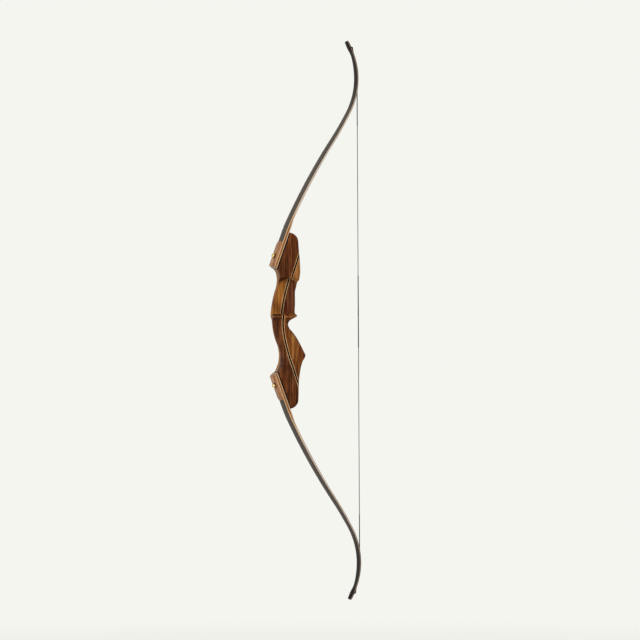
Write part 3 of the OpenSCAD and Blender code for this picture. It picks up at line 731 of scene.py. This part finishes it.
# Each material's maker and its values: woods run from dark to light, piths are in metres
DARK_PITH, GOLD_PITH = (0.07, 0.05, 0.0), (-0.06, 0.07, 0.3)
FINISHES = {
    "dark_wood": (wood, ((41, 14, 4), (86, 45, 19), (128, 78, 42)), DARK_PITH, 1.15, "seat"),
    # A darker copy of dark_wood for the riser's lower half: painted shade
    "grip_dark": (wood, ((35, 11, 3), (74, 38, 15), (110, 66, 36)), DARK_PITH, 1.15, "seat rim"),
    # A copy of dark_wood for the right half's plank, with its own figure and tones set to make up
    # for the shade inside the sight window: painted light
    "window_dark": (
        wood, ((45, 16, 7), (83, 43, 22), (113, 67, 40)), (0.02, -0.06, 0.2), 1.1, "seat",
    ),
    "gold_wood": (wood, ((92, 50, 20), (142, 96, 52), (184, 140, 92)), GOLD_PITH, 1.1),
    # A darker copy of gold_wood for the riser's lower half: painted shade
    "grip_gold": (wood, ((62, 26, 7), (101, 56, 21), (146, 98, 48)), GOLD_PITH, 1.2, "rim"),
    # A copy of gold_wood for the right half's plank, with its own figure and tones set to make up
    # for the shade inside the sight window: painted light
    "window_gold": (
        wood, ((78, 40, 10), (132, 84, 34), (170, 118, 58)), (0.05, 0.03, 0.1), 1.0, "seat",
    ),
    "stripe_dark": (wood, ((6, 3, 2), (12, 7, 5), (22, 14, 10)), (0.03, 0.02, 0.0)),
    "stripe_pale": (wood, ((164, 126, 82), (202, 164, 116), (222, 188, 142)), (0.02, 0.04, 0.1)),
    "overlay_wood": (
        wood, ((90, 50, 26), (138, 92, 54), (182, 138, 96)), (0.0, 0.03, 0.05), 1.2, "", "grain",
    ),
    "back_fibreglass": (fibreglass, (76, 66, 56), (50, 43, 36), (18, 11, 8), 0.34, 0.47),
    "belly_fibreglass": (fibreglass, (112, 100, 86), (82, 73, 62), (48, 40, 34), 0.40, 0.54),
    "glass_edge": (glass_edge,),
    "limb_core": (core_material,),
    "tip_black": (black_tip,),
    "brass": (metal, (226, 194, 128), (158, 120, 62), 0.26, True),
    "pin_steel": (metal, (176, 176, 174), (130, 128, 126), 0.3),
    "washer_black": (metal, (52, 46, 42), (30, 27, 25), 0.42),
    "string_strand": (thread, (52, 50, 50), (118, 114, 112)),
    "serving_thread": (thread, (16, 15, 15), (60, 56, 54)),
}
MATERIALS = {name: maker(name, *values) for name, (maker, *values) in FINISHES.items()}


def dress(obj, slot, *nodes, body=None):
    """Hides the CAD nodes a piece stands for and attaches it to what it rides on; slot is not used.
    """
    if nodes:
        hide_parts(*nodes)
    if body:
        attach(obj, body)
    return obj


# Riser
def stripe_x(z):
    return -STRIPE_FRONT + STRIPE_LEAN * (np.hypot(z - STRIPE_Z, STRIPE_BEND) - STRIPE_BEND)


def window_section(x):
    """The window's top at one x: a quarter ellipse from its side face out to the roof."""
    roof = WINDOW_TOP - ROOF_R + sqrt(ROOF_R**2 - max(x - ROOF_FROM, 0) ** 2)
    stripe = stripe_x(WINDOW_TOP)
    bow = (max(x, SCOOP_BACK) - stripe) / (stripe - curve(BACK_LINE, WINDOW_TOP))
    height = min(SCOOP_MID + (SCOOP_EDGE - SCOOP_MID) * bow**2, roof - SCOOP_FOOT)
    points = [(x, -BIG, SCOOP_FOOT - 2), (x, WINDOW_PAST, SCOOP_FOOT - 2)]
    for a in np.radians(np.arange(0, 91, 5)):
        y = WINDOW_PAST - SCOOP_RUN * (1 - cos(a))
        points.append((x, y, roof - height * (1 - sin(a))))
    return points + [(x, -BIG, roof)]


def window_cutter():
    """The sight window: its scooped top over the plain side, and a crowned shelf at its foot."""
    cutter = loft("window", [window_section(x) for x in [-BIG, *range(SCOOP_BACK, 49, 2)]])
    side = slab("window_side", (-BIG, BIG), (0, SCOOP_FOOT), (-BIG, WINDOW_PAST))
    cut(cutter, side, operation="UNION")
    run = RISER_W / 2 + WINDOW_PAST
    shelf_r = (run**2 + SHELF_FALL**2) / (2 * SHELF_FALL)
    crown = [(-BIG, -BIG), (-BIG, SHELF_Z - SHELF_FALL)]
    for y in np.linspace(WINDOW_PAST - run, WINDOW_PAST, 24):
        crown.append((y, SHELF_Z - shelf_r + sqrt(shelf_r**2 - (y - WINDOW_PAST) ** 2)))
    crown += [(BIG, SHELF_Z), (BIG, -BIG)]
    cut(cutter, prism("window_shelf", crown, -BIG - 1, BIG + 1, along_x=True))
    return cutter


def riser_body():
    """The whole riser as one smooth body, its cut edges eased as sanding leaves them."""
    body = loft("riser_body", riser_rings())
    cut(body, window_cutter())
    voxel, easing = ((VOXEL, EASING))
    modify(body, "REMESH", mode="VOXEL", voxel_size=voxel * MM)
    modify(body, "SMOOTH", factor=0.5, iterations=easing)
    bake(body)
    for side in SIDES.values():
        cut(body, placed(slab("over_pad", (-BIG, BIG), (0, 40)), pad_matrix(side)))
        insert, pin = (INSERT_D / 2, -THREAD_LEN - 2, 10), (PIN_D / 2, -PIN_IN_RISER, 10)
        cut(body, *drills(side, insert, pin))
    return body


def stripe_edge(offset, otherwise):
    """A line along the riser beside the stripe's middle line, or straight outside the riser."""
    if offset is None:
        return [(otherwise, RISER_FOOT - 5), (otherwise, RISER_TOP + 5)]
    z = np.linspace(RISER_FOOT - 5, RISER_TOP + 5, 120)
    return list(zip(stripe_x(z) + offset, z))


def block(body, node, slot, plank, front, rear, across=(-BIG, BIG), heights=None):
    """One lamination of the riser, between two offsets from the stripe's middle line."""
    region = prism("region", stripe_edge(front, -BIG) + stripe_edge(rear, BIG)[::-1], *across)
    if heights:
        cut(region, slab("level", (-BIG, BIG), heights), operation="INTERSECT")
    piece = in_scene(node + "_finish", body.data.copy())
    piece.data.name = piece.name
    cut(piece, region, operation="INTERSECT")
    piece.data.materials.clear()
    piece.data.materials.append(MATERIALS[plank])
    return dress(shade(piece), slot, node, body="riser")


def make_riser():
    body = riser_body()
    split = (SHELF_Z + WINDOW_TOP) / 2
    above, below = (split, RISER_TOP + 10), (RISER_FOOT - 10, split)
    right, left = (0, BIG), (-BIG, 0)
    back, belly = (None, -STRIPE_HALF), (STRIPE_HALF, None)
    for node, slot, plank, edges, *cuts in (
        # The right half's two planks take copies of the woods toned to make up for the shade inside
        # the sight window: painted light
        ("riser_back_right", "gold_wood", "window_gold", back, right),
        ("riser_belly_right", "dark_wood", "window_dark", belly, right),
        ("riser_back_left_upper", "dark_wood", "dark_wood", back, left, above),
        # This plank and the lower belly plank take darker copies of the woods: painted shade
        ("riser_back_left_lower", "dark_wood", "grip_dark", back, left, below),
        ("riser_belly_left_upper", "gold_wood", "gold_wood", belly, left, above),
        ("riser_belly_left_lower", "gold_wood", "grip_gold", belly, left, below),
        ("stripe_dark", "stripe_dark", "stripe_dark", (-DARK_T / 2, DARK_T / 2)),
        ("stripe_pale_back", "stripe_pale", "stripe_pale", (-STRIPE_HALF, -DARK_T / 2)),
        ("stripe_pale_belly", "stripe_pale", "stripe_pale", (DARK_T / 2, STRIPE_HALF)),
    ):
        block(body, node, slot, plank, *edges, *cuts)
    remove(body)


# Limbs
def stations(*before):
    """Lengths along the limb, closer together round its tip."""
    turn = np.radians(np.arange(0, 91, 6))
    return np.concatenate([*before, NOCK_S + NOCK_FROM_TIP * np.sin(turn)])


def keep_limb_grain(obj, side):
    """Each point's length along the limb, place across it and depth in from its back face."""
    points = np.zeros(len(obj.data.vertices) * 3, np.float32)
    obj.data.vertices.foreach_get("co", points)
    points = points.reshape(-1, 3).astype(float) / MM
    s = np.arange(-BUTT_LEN - 5, LIMB_LEN + 5, 0.5)
    x, height, lean = limb_line(s)
    px, ph = points[:, 0], (points[:, 2] - BOW_MID) * side
    nearest = np.empty(len(points), int)
    for start in range(0, len(points), 4000):
        rows = slice(start, start + 4000)
        gap = (px[rows, None] - x[None]) ** 2 + (ph[rows, None] - height[None]) ** 2
        nearest[rows] = gap.argmin(axis=1)
    x, height, lean, s = x[nearest], height[nearest], lean[nearest], s[nearest]
    along = s + (px - x) * np.sin(lean) + (ph - height) * np.cos(lean)
    depth = (px - x) * np.cos(lean) - (ph - height) * np.sin(lean)
    keep_grain(obj, np.stack([along, points[:, 1], depth], axis=-1))


def lamination(name, side, s, columns, materials, column_materials=None):
    """Lofts a strip of the limb. columns is a list of (y, depth) arrays along the stations s."""
    rings = []
    for y, n in columns:
        y, n = np.broadcast_to(y, s.shape), np.broadcast_to(n, s.shape)
        at = s.copy()
        if s[0] < 0:
            # The butt end is cut on a slant
            at[0] = -BUTT_LEN + (LIMB_T - n[0]) * tan(BUTT_SLANT)
        rings.append(limb_point(side, at, y, n))
    return loft(name, np.stack(rings, axis=1), materials, column_materials)


def eased_corners(half, n, inward, radius, steps=3):
    """Columns of a rounded edge from the +y side to the -y side of a face at depth n."""
    columns = []
    for sign, order in ((1, range(steps + 1)), (-1, range(steps, -1, -1))):
        for k in order:
            a = k * pi / 2 / steps
            across = sign * (half - radius + radius * cos(a))
            columns.append((across, n + inward * radius * (1 - sin(a))))
    return columns


def limb_cutters(side):
    """Notches of the nock, and the holes for the bolt and the pins, as solids."""
    made = []
    x, height, lean = (float(v) for v in limb_line(NOCK_S))
    turn = Matrix.Rotation(lean + pi / 2 + NOTCH_SLANT, 4, "Y")
    to_side = Matrix.Translation((0, 0, BOW_MID * MM)) @ Matrix.Diagonal((1, 1, side, 1))
    for y in (-NOTCH_Y, NOTCH_Y):
        cutter = cylinder("notch", SERVING_R + NOTCH_ROOM, -3 * TIP_T, 3 * TIP_T, 40)
        place = Vector((x + TIP_T / 2 * cos(lean), y, height - TIP_T / 2 * sin(lean))) * MM
        made.append(placed(cutter, to_side @ Matrix.Translation(place) @ turn))
        face_outwards(cutter.data)
    bolt, pin = (BOLT_D / 2 + CLEAR, -1, LIMB_T + 9), ((PIN_D + CLEAR) / 2, -1, PIN_IN_LIMB + 0.5)
    return made + drills(side, bolt, pin)


def make_limb(name, side):
    s = stations(np.arange(-BUTT_LEN, FLEX_S, 4.0), np.arange(FLEX_S, NOCK_S, 2.0))
    half, thick, facing = limb_width(s) / 2, limb_thickness(s), belly_facing(s)
    ease = np.minimum(0.6, half * 0.3)
    back = [(-half, GLASS_T), (half, GLASS_T)] + eased_corners(half, 0.0, 1, ease)
    core = [(-half, thick - facing), (half, thick - facing), (half, GLASS_T), (-half, GLASS_T)]
    # The belly glass has the string's groove along its middle
    groove_half = np.minimum(GROOVE_HALF, half * 0.6)
    rounded = eased_corners(half, thick, -1, ease)
    belly = [(half, thick - facing), (-half, thick - facing)] + [(-y, n) for y, n in rounded[:4]]
    for share in np.linspace(-1, 1, 13):
        belly.append((groove_half * share, thick - groove_at(s) * sqrt(max(0.0, 1 - share**2))))
    belly += rounded[3::-1]
    cutters = limb_cutters(side)
    start, end = (tuple(limb_point(side, along, 0, 0) * MM) for along in (0, BEND_TO))
    for part, butt_part, slot, columns in (
        # node past the riser, node on the riser, slot, columns
        ("back_glass", "butt_back_glass", "back_fibreglass", back),
        ("limb_core", "butt_core", "limb_core", core),
        ("belly_glass", "butt_belly_glass", "belly_fibreglass", belly),
    ):
        materials, looks = [MATERIALS[slot]], [0] * len(columns)
        if slot != "limb_core":
            # The glass shows its cut edge on both sides
            materials.append(MATERIALS["glass_edge"])
            looks[1] = looks[-1] = 1
        strip = lamination(f"{name}_{part}_finish", side, s, columns, materials, looks)
        carve(strip, *cutters)
        keep_limb_grain(strip, side)
        dress(shade(strip, 30), slot, f"{name}_{part}", f"{name}_{butt_part}")
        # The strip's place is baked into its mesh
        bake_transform(strip)
    make_tip_overlay(name, side, cutters[:2])
    make_butt_overlay(name, side, cutters[2])
    remove(*cutters)


def string_slot(side):
    """The slot that takes the string across the back of the tip overlay, as a solid."""
    deep, out = OVER_N - 0.2, OVER_N - 2 * TIP_SLOT
    inner = limb_point(side, notch_lean(deep), 0, deep)[[0, 2]]
    inward = inner - limb_point(side, notch_lean(out), 0, out)[[0, 2]]
    outer = inner - 3 * inward
    radius = SERVING_R + NOTCH_ROOM
    aside = np.array([inward[1], -inward[0]]) / np.hypot(*inward) * radius
    heading = atan2(inward[1], inward[0])
    outline = [outer - aside, outer + aside]
    for a in heading + np.linspace(-pi / 2, pi / 2, 13):
        outline.append(inner + radius * np.array([cos(a), sin(a)]))
    return prism("slot", outline, -NOCK_W, NOCK_W)


def make_tip_overlay(name, side, notches):
    s = stations(np.arange(TIP_FROM, NOCK_S, 1.5))
    half = limb_width(s) / 2
    proud = ramp(s, TIP_FROM, TIP_FROM + 20, 0.3, TIP_OVERLAY_T)
    ease = np.minimum(proud * 0.6, half * 0.4)
    columns = [(-half, 0.0), (half, 0.0)] + eased_corners(half, -proud, 1, ease, steps=5)
    part = name + "_tip_overlay"
    overlay = lamination(part + "_finish", side, s, columns, [MATERIALS["tip_black"]])
    carve(overlay, *notches)
    cut(overlay, string_slot(side))
    keep_limb_grain(overlay, side)
    dress(shade(overlay, 30), "tip_black", part, body=name + "_limb")


def make_butt_overlay(name, side, bolt_hole):
    slant, top = tan(BUTT_SLANT), LIMB_T + OVERLAY_T
    far, lip, rise = OVERLAY_LEN - BUTT_LEN, LIMB_T + 0.4, OVERLAY_T - 0.4
    outline = [(-BUTT_LEN + LIMB_T * slant, LIMB_T), (far, LIMB_T), (far, lip)]
    # The far end is feathered in a shallow curve
    for t in np.linspace(0.15, 1, 6):
        outline.append((far - OVERLAY_FEATHER * t, lip + rise * sin(t * pi / 2)))
    outline.append((-BUTT_LEN + top * slant, top))
    overlay = prism(name + "_butt_overlay_finish", outline, -LIMB_W / 2, LIMB_W / 2)
    overlay.data.materials.append(MATERIALS["overlay_wood"])
    placed(overlay, pad_matrix(side))
    least = radians(50)
    modify(overlay, "BEVEL", width=0.5 * MM, segments=2, limit_method="ANGLE", angle_limit=least)
    bake(overlay)
    carve(overlay, bolt_hole)
    keep_limb_grain(overlay, side)
    dress(shade(overlay, 30), "overlay_wood", name + "_butt_overlay", body="riser")


# Bolts and washers
def revolve(name, rows, material):
    """Turned solid from (radius, height, share of the thread's depth) rows."""
    turn = full_turn(72)
    rings = []
    for radius, height, share in rows:
        phase = (height / BOLT_LEAD - turn / (2 * pi)) % 1.0
        r = radius - BOLT_THREAD * np.abs(2 * phase - 1) ** 1.3 * share
        level = np.full_like(r, height)
        rings.append(np.stack([r * np.cos(turn), r * np.sin(turn), level], axis=-1))
    return loft(name, rings, (material,))


def make_bolt(name, side):
    seat = LIMB_T + OVERLAY_T + WASHER_T
    shank, head = BOLT_D / 2, HEAD_D / 2
    rim, dome = seat + HEAD_H * 0.38, HEAD_H * 0.62
    rows = [(shank - 1.1, -THREAD_LEN, 0), (shank - 0.2, -THREAD_LEN + 0.9, 0.6)]
    for height in np.arange(-THREAD_LEN + 1.0, 6.0, BOLT_LEAD / 8):
        rows.append((shank, height, 1.0))
    rows += [(shank, 6.3, 0.4), (shank, 6.8, 0), (shank, seat - 0.05, 0), (head - 0.5, seat, 0)]
    rows += [(head, seat + 0.35, 0), (head, rim, 0)]
    for t in np.linspace(0.08, 0.93, 12):
        a = t * pi / 2
        rows.append((head * cos(a) ** 0.9, rim + dome * sin(a), 0))
    bolt = revolve(name + "_limb_bolt_finish", rows, MATERIALS["brass"])
    corner = SOCKET_AF / 2 / cos(pi / 6)
    cut(bolt, cylinder("socket", corner, seat + HEAD_H * 0.45, seat + HEAD_H + 5, 6))
    placed(bolt, pad_matrix(side, BOLT_S))
    dress(shade(bolt, 28), "brass", name + "_limb_bolt", body=name + "_bolt")


def make_washer(name, side):
    """A flat ring with eased edges."""
    base, top = LIMB_T + OVERLAY_T, LIMB_T + OVERLAY_T + WASHER_T
    inner, outer, ease = BOLT_D / 2 + CLEAR, WASHER_D / 2, 0.3
    profile = [
        (inner, base), (outer - ease, base), (outer, base + ease), (outer, top - ease),
        (outer - ease, top), (inner + ease, top), (inner, top - ease),
    ]
    rings = [[(r * cos(a), r * sin(a), z) for r, z in profile] for a in full_turn(72)]
    washer = loft(name + "_washer_finish", rings, (MATERIALS["washer_black"],), closed=True)
    placed(washer, pad_matrix(side, BOLT_S))
    dress(shade(washer, 28), "washer_black", name + "_washer", body=name + "_washer")


# String
def spaced(path, gap):
    """The path's points again, an even distance apart, with the length at each."""
    path = np.asarray(path, float)
    length = np.concatenate([[0], np.cumsum(np.linalg.norm(np.diff(path, axis=0), axis=1))])
    at = np.linspace(0, length[-1], max(2, int(ceil(length[-1] / gap)) + 1))
    return np.stack([np.interp(at, length, path[:, k]) for k in range(3)], axis=-1), at


def rounded_path(points, steps=8):
    """A smooth curve through the points (Catmull-Rom)."""
    p = np.asarray(points, float)
    p = np.concatenate([[2 * p[0] - p[1]], p, [2 * p[-1] - p[-2]]])
    t = np.linspace(0, 1, steps, endpoint=False)[:, None]
    made = []
    for a, b, c, d in zip(p[:-3], p[1:-2], p[2:-1], p[3:]):
        curved = (2 * a - 5 * b + 4 * c - d) * t**2 + (3 * b - a - 3 * c + d) * t**3
        made.append(0.5 * (2 * b + (c - a) * t + curved))
    return np.concatenate(made + [p[-2:-1]])


def tube(node, path, gap, radius, sides, slot, lobes, depth, pitch, name=None, body=None):
    """Round cord along a path, its surface following the lay of its strands or windings."""
    path, length = spaced(path, gap)
    tangent = np.gradient(path, axis=0)
    tangent /= np.linalg.norm(tangent, axis=1)[:, None]
    first = np.cross(tangent, np.array([0.03, 1.0, 0.05]))
    first /= np.linalg.norm(first, axis=1)[:, None]
    second = np.cross(tangent, first)
    turn = full_turn(sides)
    phase = lobes * turn[None] - 2 * pi * length[:, None] / pitch
    r = radius - depth * (1 - np.cos(phase)) / 2
    ring = path[:, None] + r[..., None] * (
        np.cos(turn)[None, :, None] * first[:, None] + np.sin(turn)[None, :, None] * second[:, None]
    )
    obj = loft(name or node + "_finish", ring, (MATERIALS[slot],))
    grain = np.stack(np.broadcast_arrays(length[:, None], radius * turn[None], r), axis=-1)
    keep_grain(obj, grain.reshape(-1, 3))
    nodes = [node] if node else []
    return dress(shade(obj, 60), slot, *nodes, body=body)


def served(node, path, radius=SERVING_R, sides=16, depth=THREAD_DEPTH, **more):
    """A length of string wound with serving thread."""
    gap = THREAD_PITCH / 4
    return tube(node, path, gap, radius, sides, "serving_thread", 1, depth, THREAD_PITCH, **more)


def swing(parts):
    """Bakes each of the string's parts' transforms into its mesh."""
    for part in parts:
        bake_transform(part)


def make_string_half(name, side):
    over_mid = side * (NOCK_Z - BOW_MID)
    served_from = LIFT - LIFT_GAP - END_SERVING

    def string_point(height):
        return (STRING_X, 0.0, BOW_MID + side * height)

    # The strand, with the serving of the string's middle round it
    half_end = string_point(over_mid + 0.8)
    strand = [half_end, string_point(served_from + STRAND_INSIDE)]
    centre = [half_end, string_point(over_mid + CENTRE_SERVING / 2)]
    far_parts = [
        tube(name + "_string_strand", strand, 1.5, STRING_R, 18, "string_strand",
             STRANDS, 0.22, STRING_LAY / STRANDS),
        served(name + "_centre_serving", centre),
    ]
    # The end serving runs on into the recurve's groove
    in_groove = np.arange(CREST_S, GROOVE_LEFT, 2.0)
    curled = limb_point(side, in_groove, 0.0, string_depth(in_groove))
    end_path = [string_point(served_from), string_point(LIFT - 4), *curled[1:]]
    near_parts = [served(name + "_end_serving", end_path, END_SERVING_R)]
    # The loop's two legs part in a fork on the belly, and run on through the notches over the back
    leg_from = notch_lean(BELLY_N)
    legs = (
        # length along the limb, place across it, depth in from its back
        (leg_from, NOTCH_Y, BELLY_N), (leg_from - 2, NOTCH_Y - 0.5, BELLY_N),
        (leg_from - 5, NOTCH_Y - 2.4, BELLY_N), (FORK_S + 5, 2.6, BELLY_N),
        (FORK_S + 1.6, 1.5, BELLY_N - 0.1), (FORK_S - 1, 1.0, BELLY_N - 0.35),
        (FORK_S - 4, 0.7, BELLY_N - 0.7), (GROOVE_LEFT, 0.25, string_depth(GROOVE_LEFT)),
        (GROOVE_LEFT - 5, 0.0, string_depth(GROOVE_LEFT - 5)),
    )
    for tag, sign, node in (("near", -1, name + "_string_fork"), ("far", 1, None)):
        path = [limb_point(side, s, sign * y, n) for s, y, n in legs]
        near_parts.append(served(node, rounded_path(path), name=f"{name}_loop_{tag}_leg"))
    # The parts' transforms are baked into their meshes
    swing(near_parts)
    swing(far_parts)
    # Over the back: place across the limb, and depth
    bends = [
        (NOTCH_Y, BELLY_N), (NOTCH_Y, TIP_T), (NOTCH_Y, 1.2), (NOTCH_Y, OVER_N + 1.9),
        (NOTCH_Y - 0.3, OVER_N + 0.8), (NOTCH_Y - 1.3, OVER_N - 0.1), (NOTCH_Y - 3.2, OVER_N - 0.2),
        (0, OVER_N - 0.2),
    ]
    bends += [(-y, n) for y, n in bends[-2::-1]]
    loop = [limb_point(side, notch_lean(n), y, n) for y, n in bends]
    served(name + "_string_bight", rounded_path(loop), body=name + "_limb")


def make_nocking_serving():
    """A second layer of winding where the arrow's nock sits."""
    reach = NOCKING_HALF - CLEAR
    path = [(STRING_X, 0, NOCK_Z - reach), (STRING_X, 0, NOCK_Z + reach)]
    wrap = served("nocking_serving", path, NOCKING_SERVING_R, 18, 0.14, body="nocking_point")
    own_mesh(wrap)


def finish_cad_nodes():
    """The inserts and pins inside the riser keep their CAD shape and get their metal."""
    for name in SIDES:
        for part, slot in (("insert", "brass"), ("locating_pins", "pin_steel")):
            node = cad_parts[f"{name}_{part}"]
            for material_slot in node.material_slots:
                material_slot.material = MATERIALS[slot]


# Camera, floor and light
def make_camera():
    look = Vector((sin(VIEW_AZIMUTH), cos(VIEW_AZIMUTH), 0))
    right = Vector((cos(VIEW_AZIMUTH), -sin(VIEW_AZIMUTH), 0))
    up = (Vector((0, 0, 1)) + VIEW_LEAN * right).normalized()
    right = look.cross(up).normalized()
    camera = in_scene("camera", bpy.data.cameras.new("camera"))
    camera.data.sensor_width = SENSOR
    camera.data.lens = SENSOR * VIEW_DISTANCE / (PHOTO_PX / PX_PER_MM * MM)
    camera.data.clip_end = 100
    camera.matrix_world = axes_at(Vector(VIEW_CENTRE) * MM - look * VIEW_DISTANCE, right, up, -look)
    bpy.context.scene.camera = camera


def seen_directly(n):
    """1 for what the camera, a glossy surface or glass sees, and 0 for light on the object."""
    path = n.add("LightPath")
    most = path.outputs["Is Camera Ray"]
    for ray in ("Is Glossy Ray", "Is Transmission Ray"):
        most = n.math("MAXIMUM", most, path.outputs[ray])
    return most


def make_stage():
    """A pale floor that keeps the shadow, seen from above only, fading into the backdrop."""
    far = FLOOR_FADE[1] / MM
    corners = [(-far, -far, 0), (far, -far, 0), (far, far, 0), (-far, far, 0)]
    floor = new_object("floor", corners, [[0, 1, 2, 3]])
    floor.location.z = FLOOR_Z
    n = Nodes("floor")
    pale = n.ramp(n.noise((3, 3, 3), 2.0), (0.3, (228, 228, 224)), (0.7, (234, 234, 230)))
    n.finish(pale, 0.85, specular=0.1)
    glow = n.add("Emission", Color=BACKDROP, Strength=1.0).outputs[0]
    clear = n.add("BsdfTransparent").outputs[0]
    share = n.times(seen_directly(n), FLOOR_GLOW)
    lit = n.add("MixShader", i0=share, i1=n.shader.outputs[0], i2=glow).outputs[0]
    out = n.add("VectorMath", {"operation": "LENGTH"}, i0=n.where((1, 1, 1))).outputs["Value"]
    behind = n.add("NewGeometry").outputs["Backfacing"]
    gone = n.math("MAXIMUM", behind, n.spread(out, *FLOOR_FADE))
    shown = n.add("MixShader", i0=gone, i1=lit, i2=clear)
    n.tree.links.new(shown.outputs[0], n.tree.nodes["Material Output"].inputs["Surface"])
    floor.data.materials.append(n.material)


def make_world():
    """Soft light from all round. What the camera and gloss see is the pale backdrop."""
    world = bpy.context.scene.world = bpy.data.worlds.new("studio")
    n = Nodes("studio", owner=world)
    ambient = n.tree.nodes["Background"]
    n.plug(ambient.inputs["Color"], (1.0, 0.99, 0.97, 1.0))
    n.plug(ambient.inputs["Strength"], AMBIENT)
    backdrop = n.add("Background", Color=BACKDROP).outputs[0]
    joined = n.add("MixShader", i0=seen_directly(n), i1=ambient.outputs[0], i2=backdrop)
    n.tree.links.new(joined.outputs[0], n.tree.nodes["World Output"].inputs["Surface"])


def make_lamp(name, place, size, power):
    lamp = in_scene(name, bpy.data.lights.new(name, "AREA"))
    lamp.data.shape = "RECTANGLE"
    lamp.data.size, lamp.data.size_y = size
    lamp.data.energy = power
    lamp.location = place
    lamp.rotation_mode = "QUATERNION"
    lamp.rotation_quaternion = (Vector(LAMP_AIM) - Vector(place)).to_track_quat("-Z", "Y")


make_camera()
make_stage()
make_world()
for lamp_row in LAMPS:
    make_lamp(*lamp_row)
make_riser()
for limb in SIDES.items():
    make_limb(*limb)
    make_bolt(*limb)
    make_washer(*limb)
    make_string_half(*limb)
make_nocking_serving()
finish_cad_nodes()

bpy.context.scene.view_settings.view_transform = "Standard"
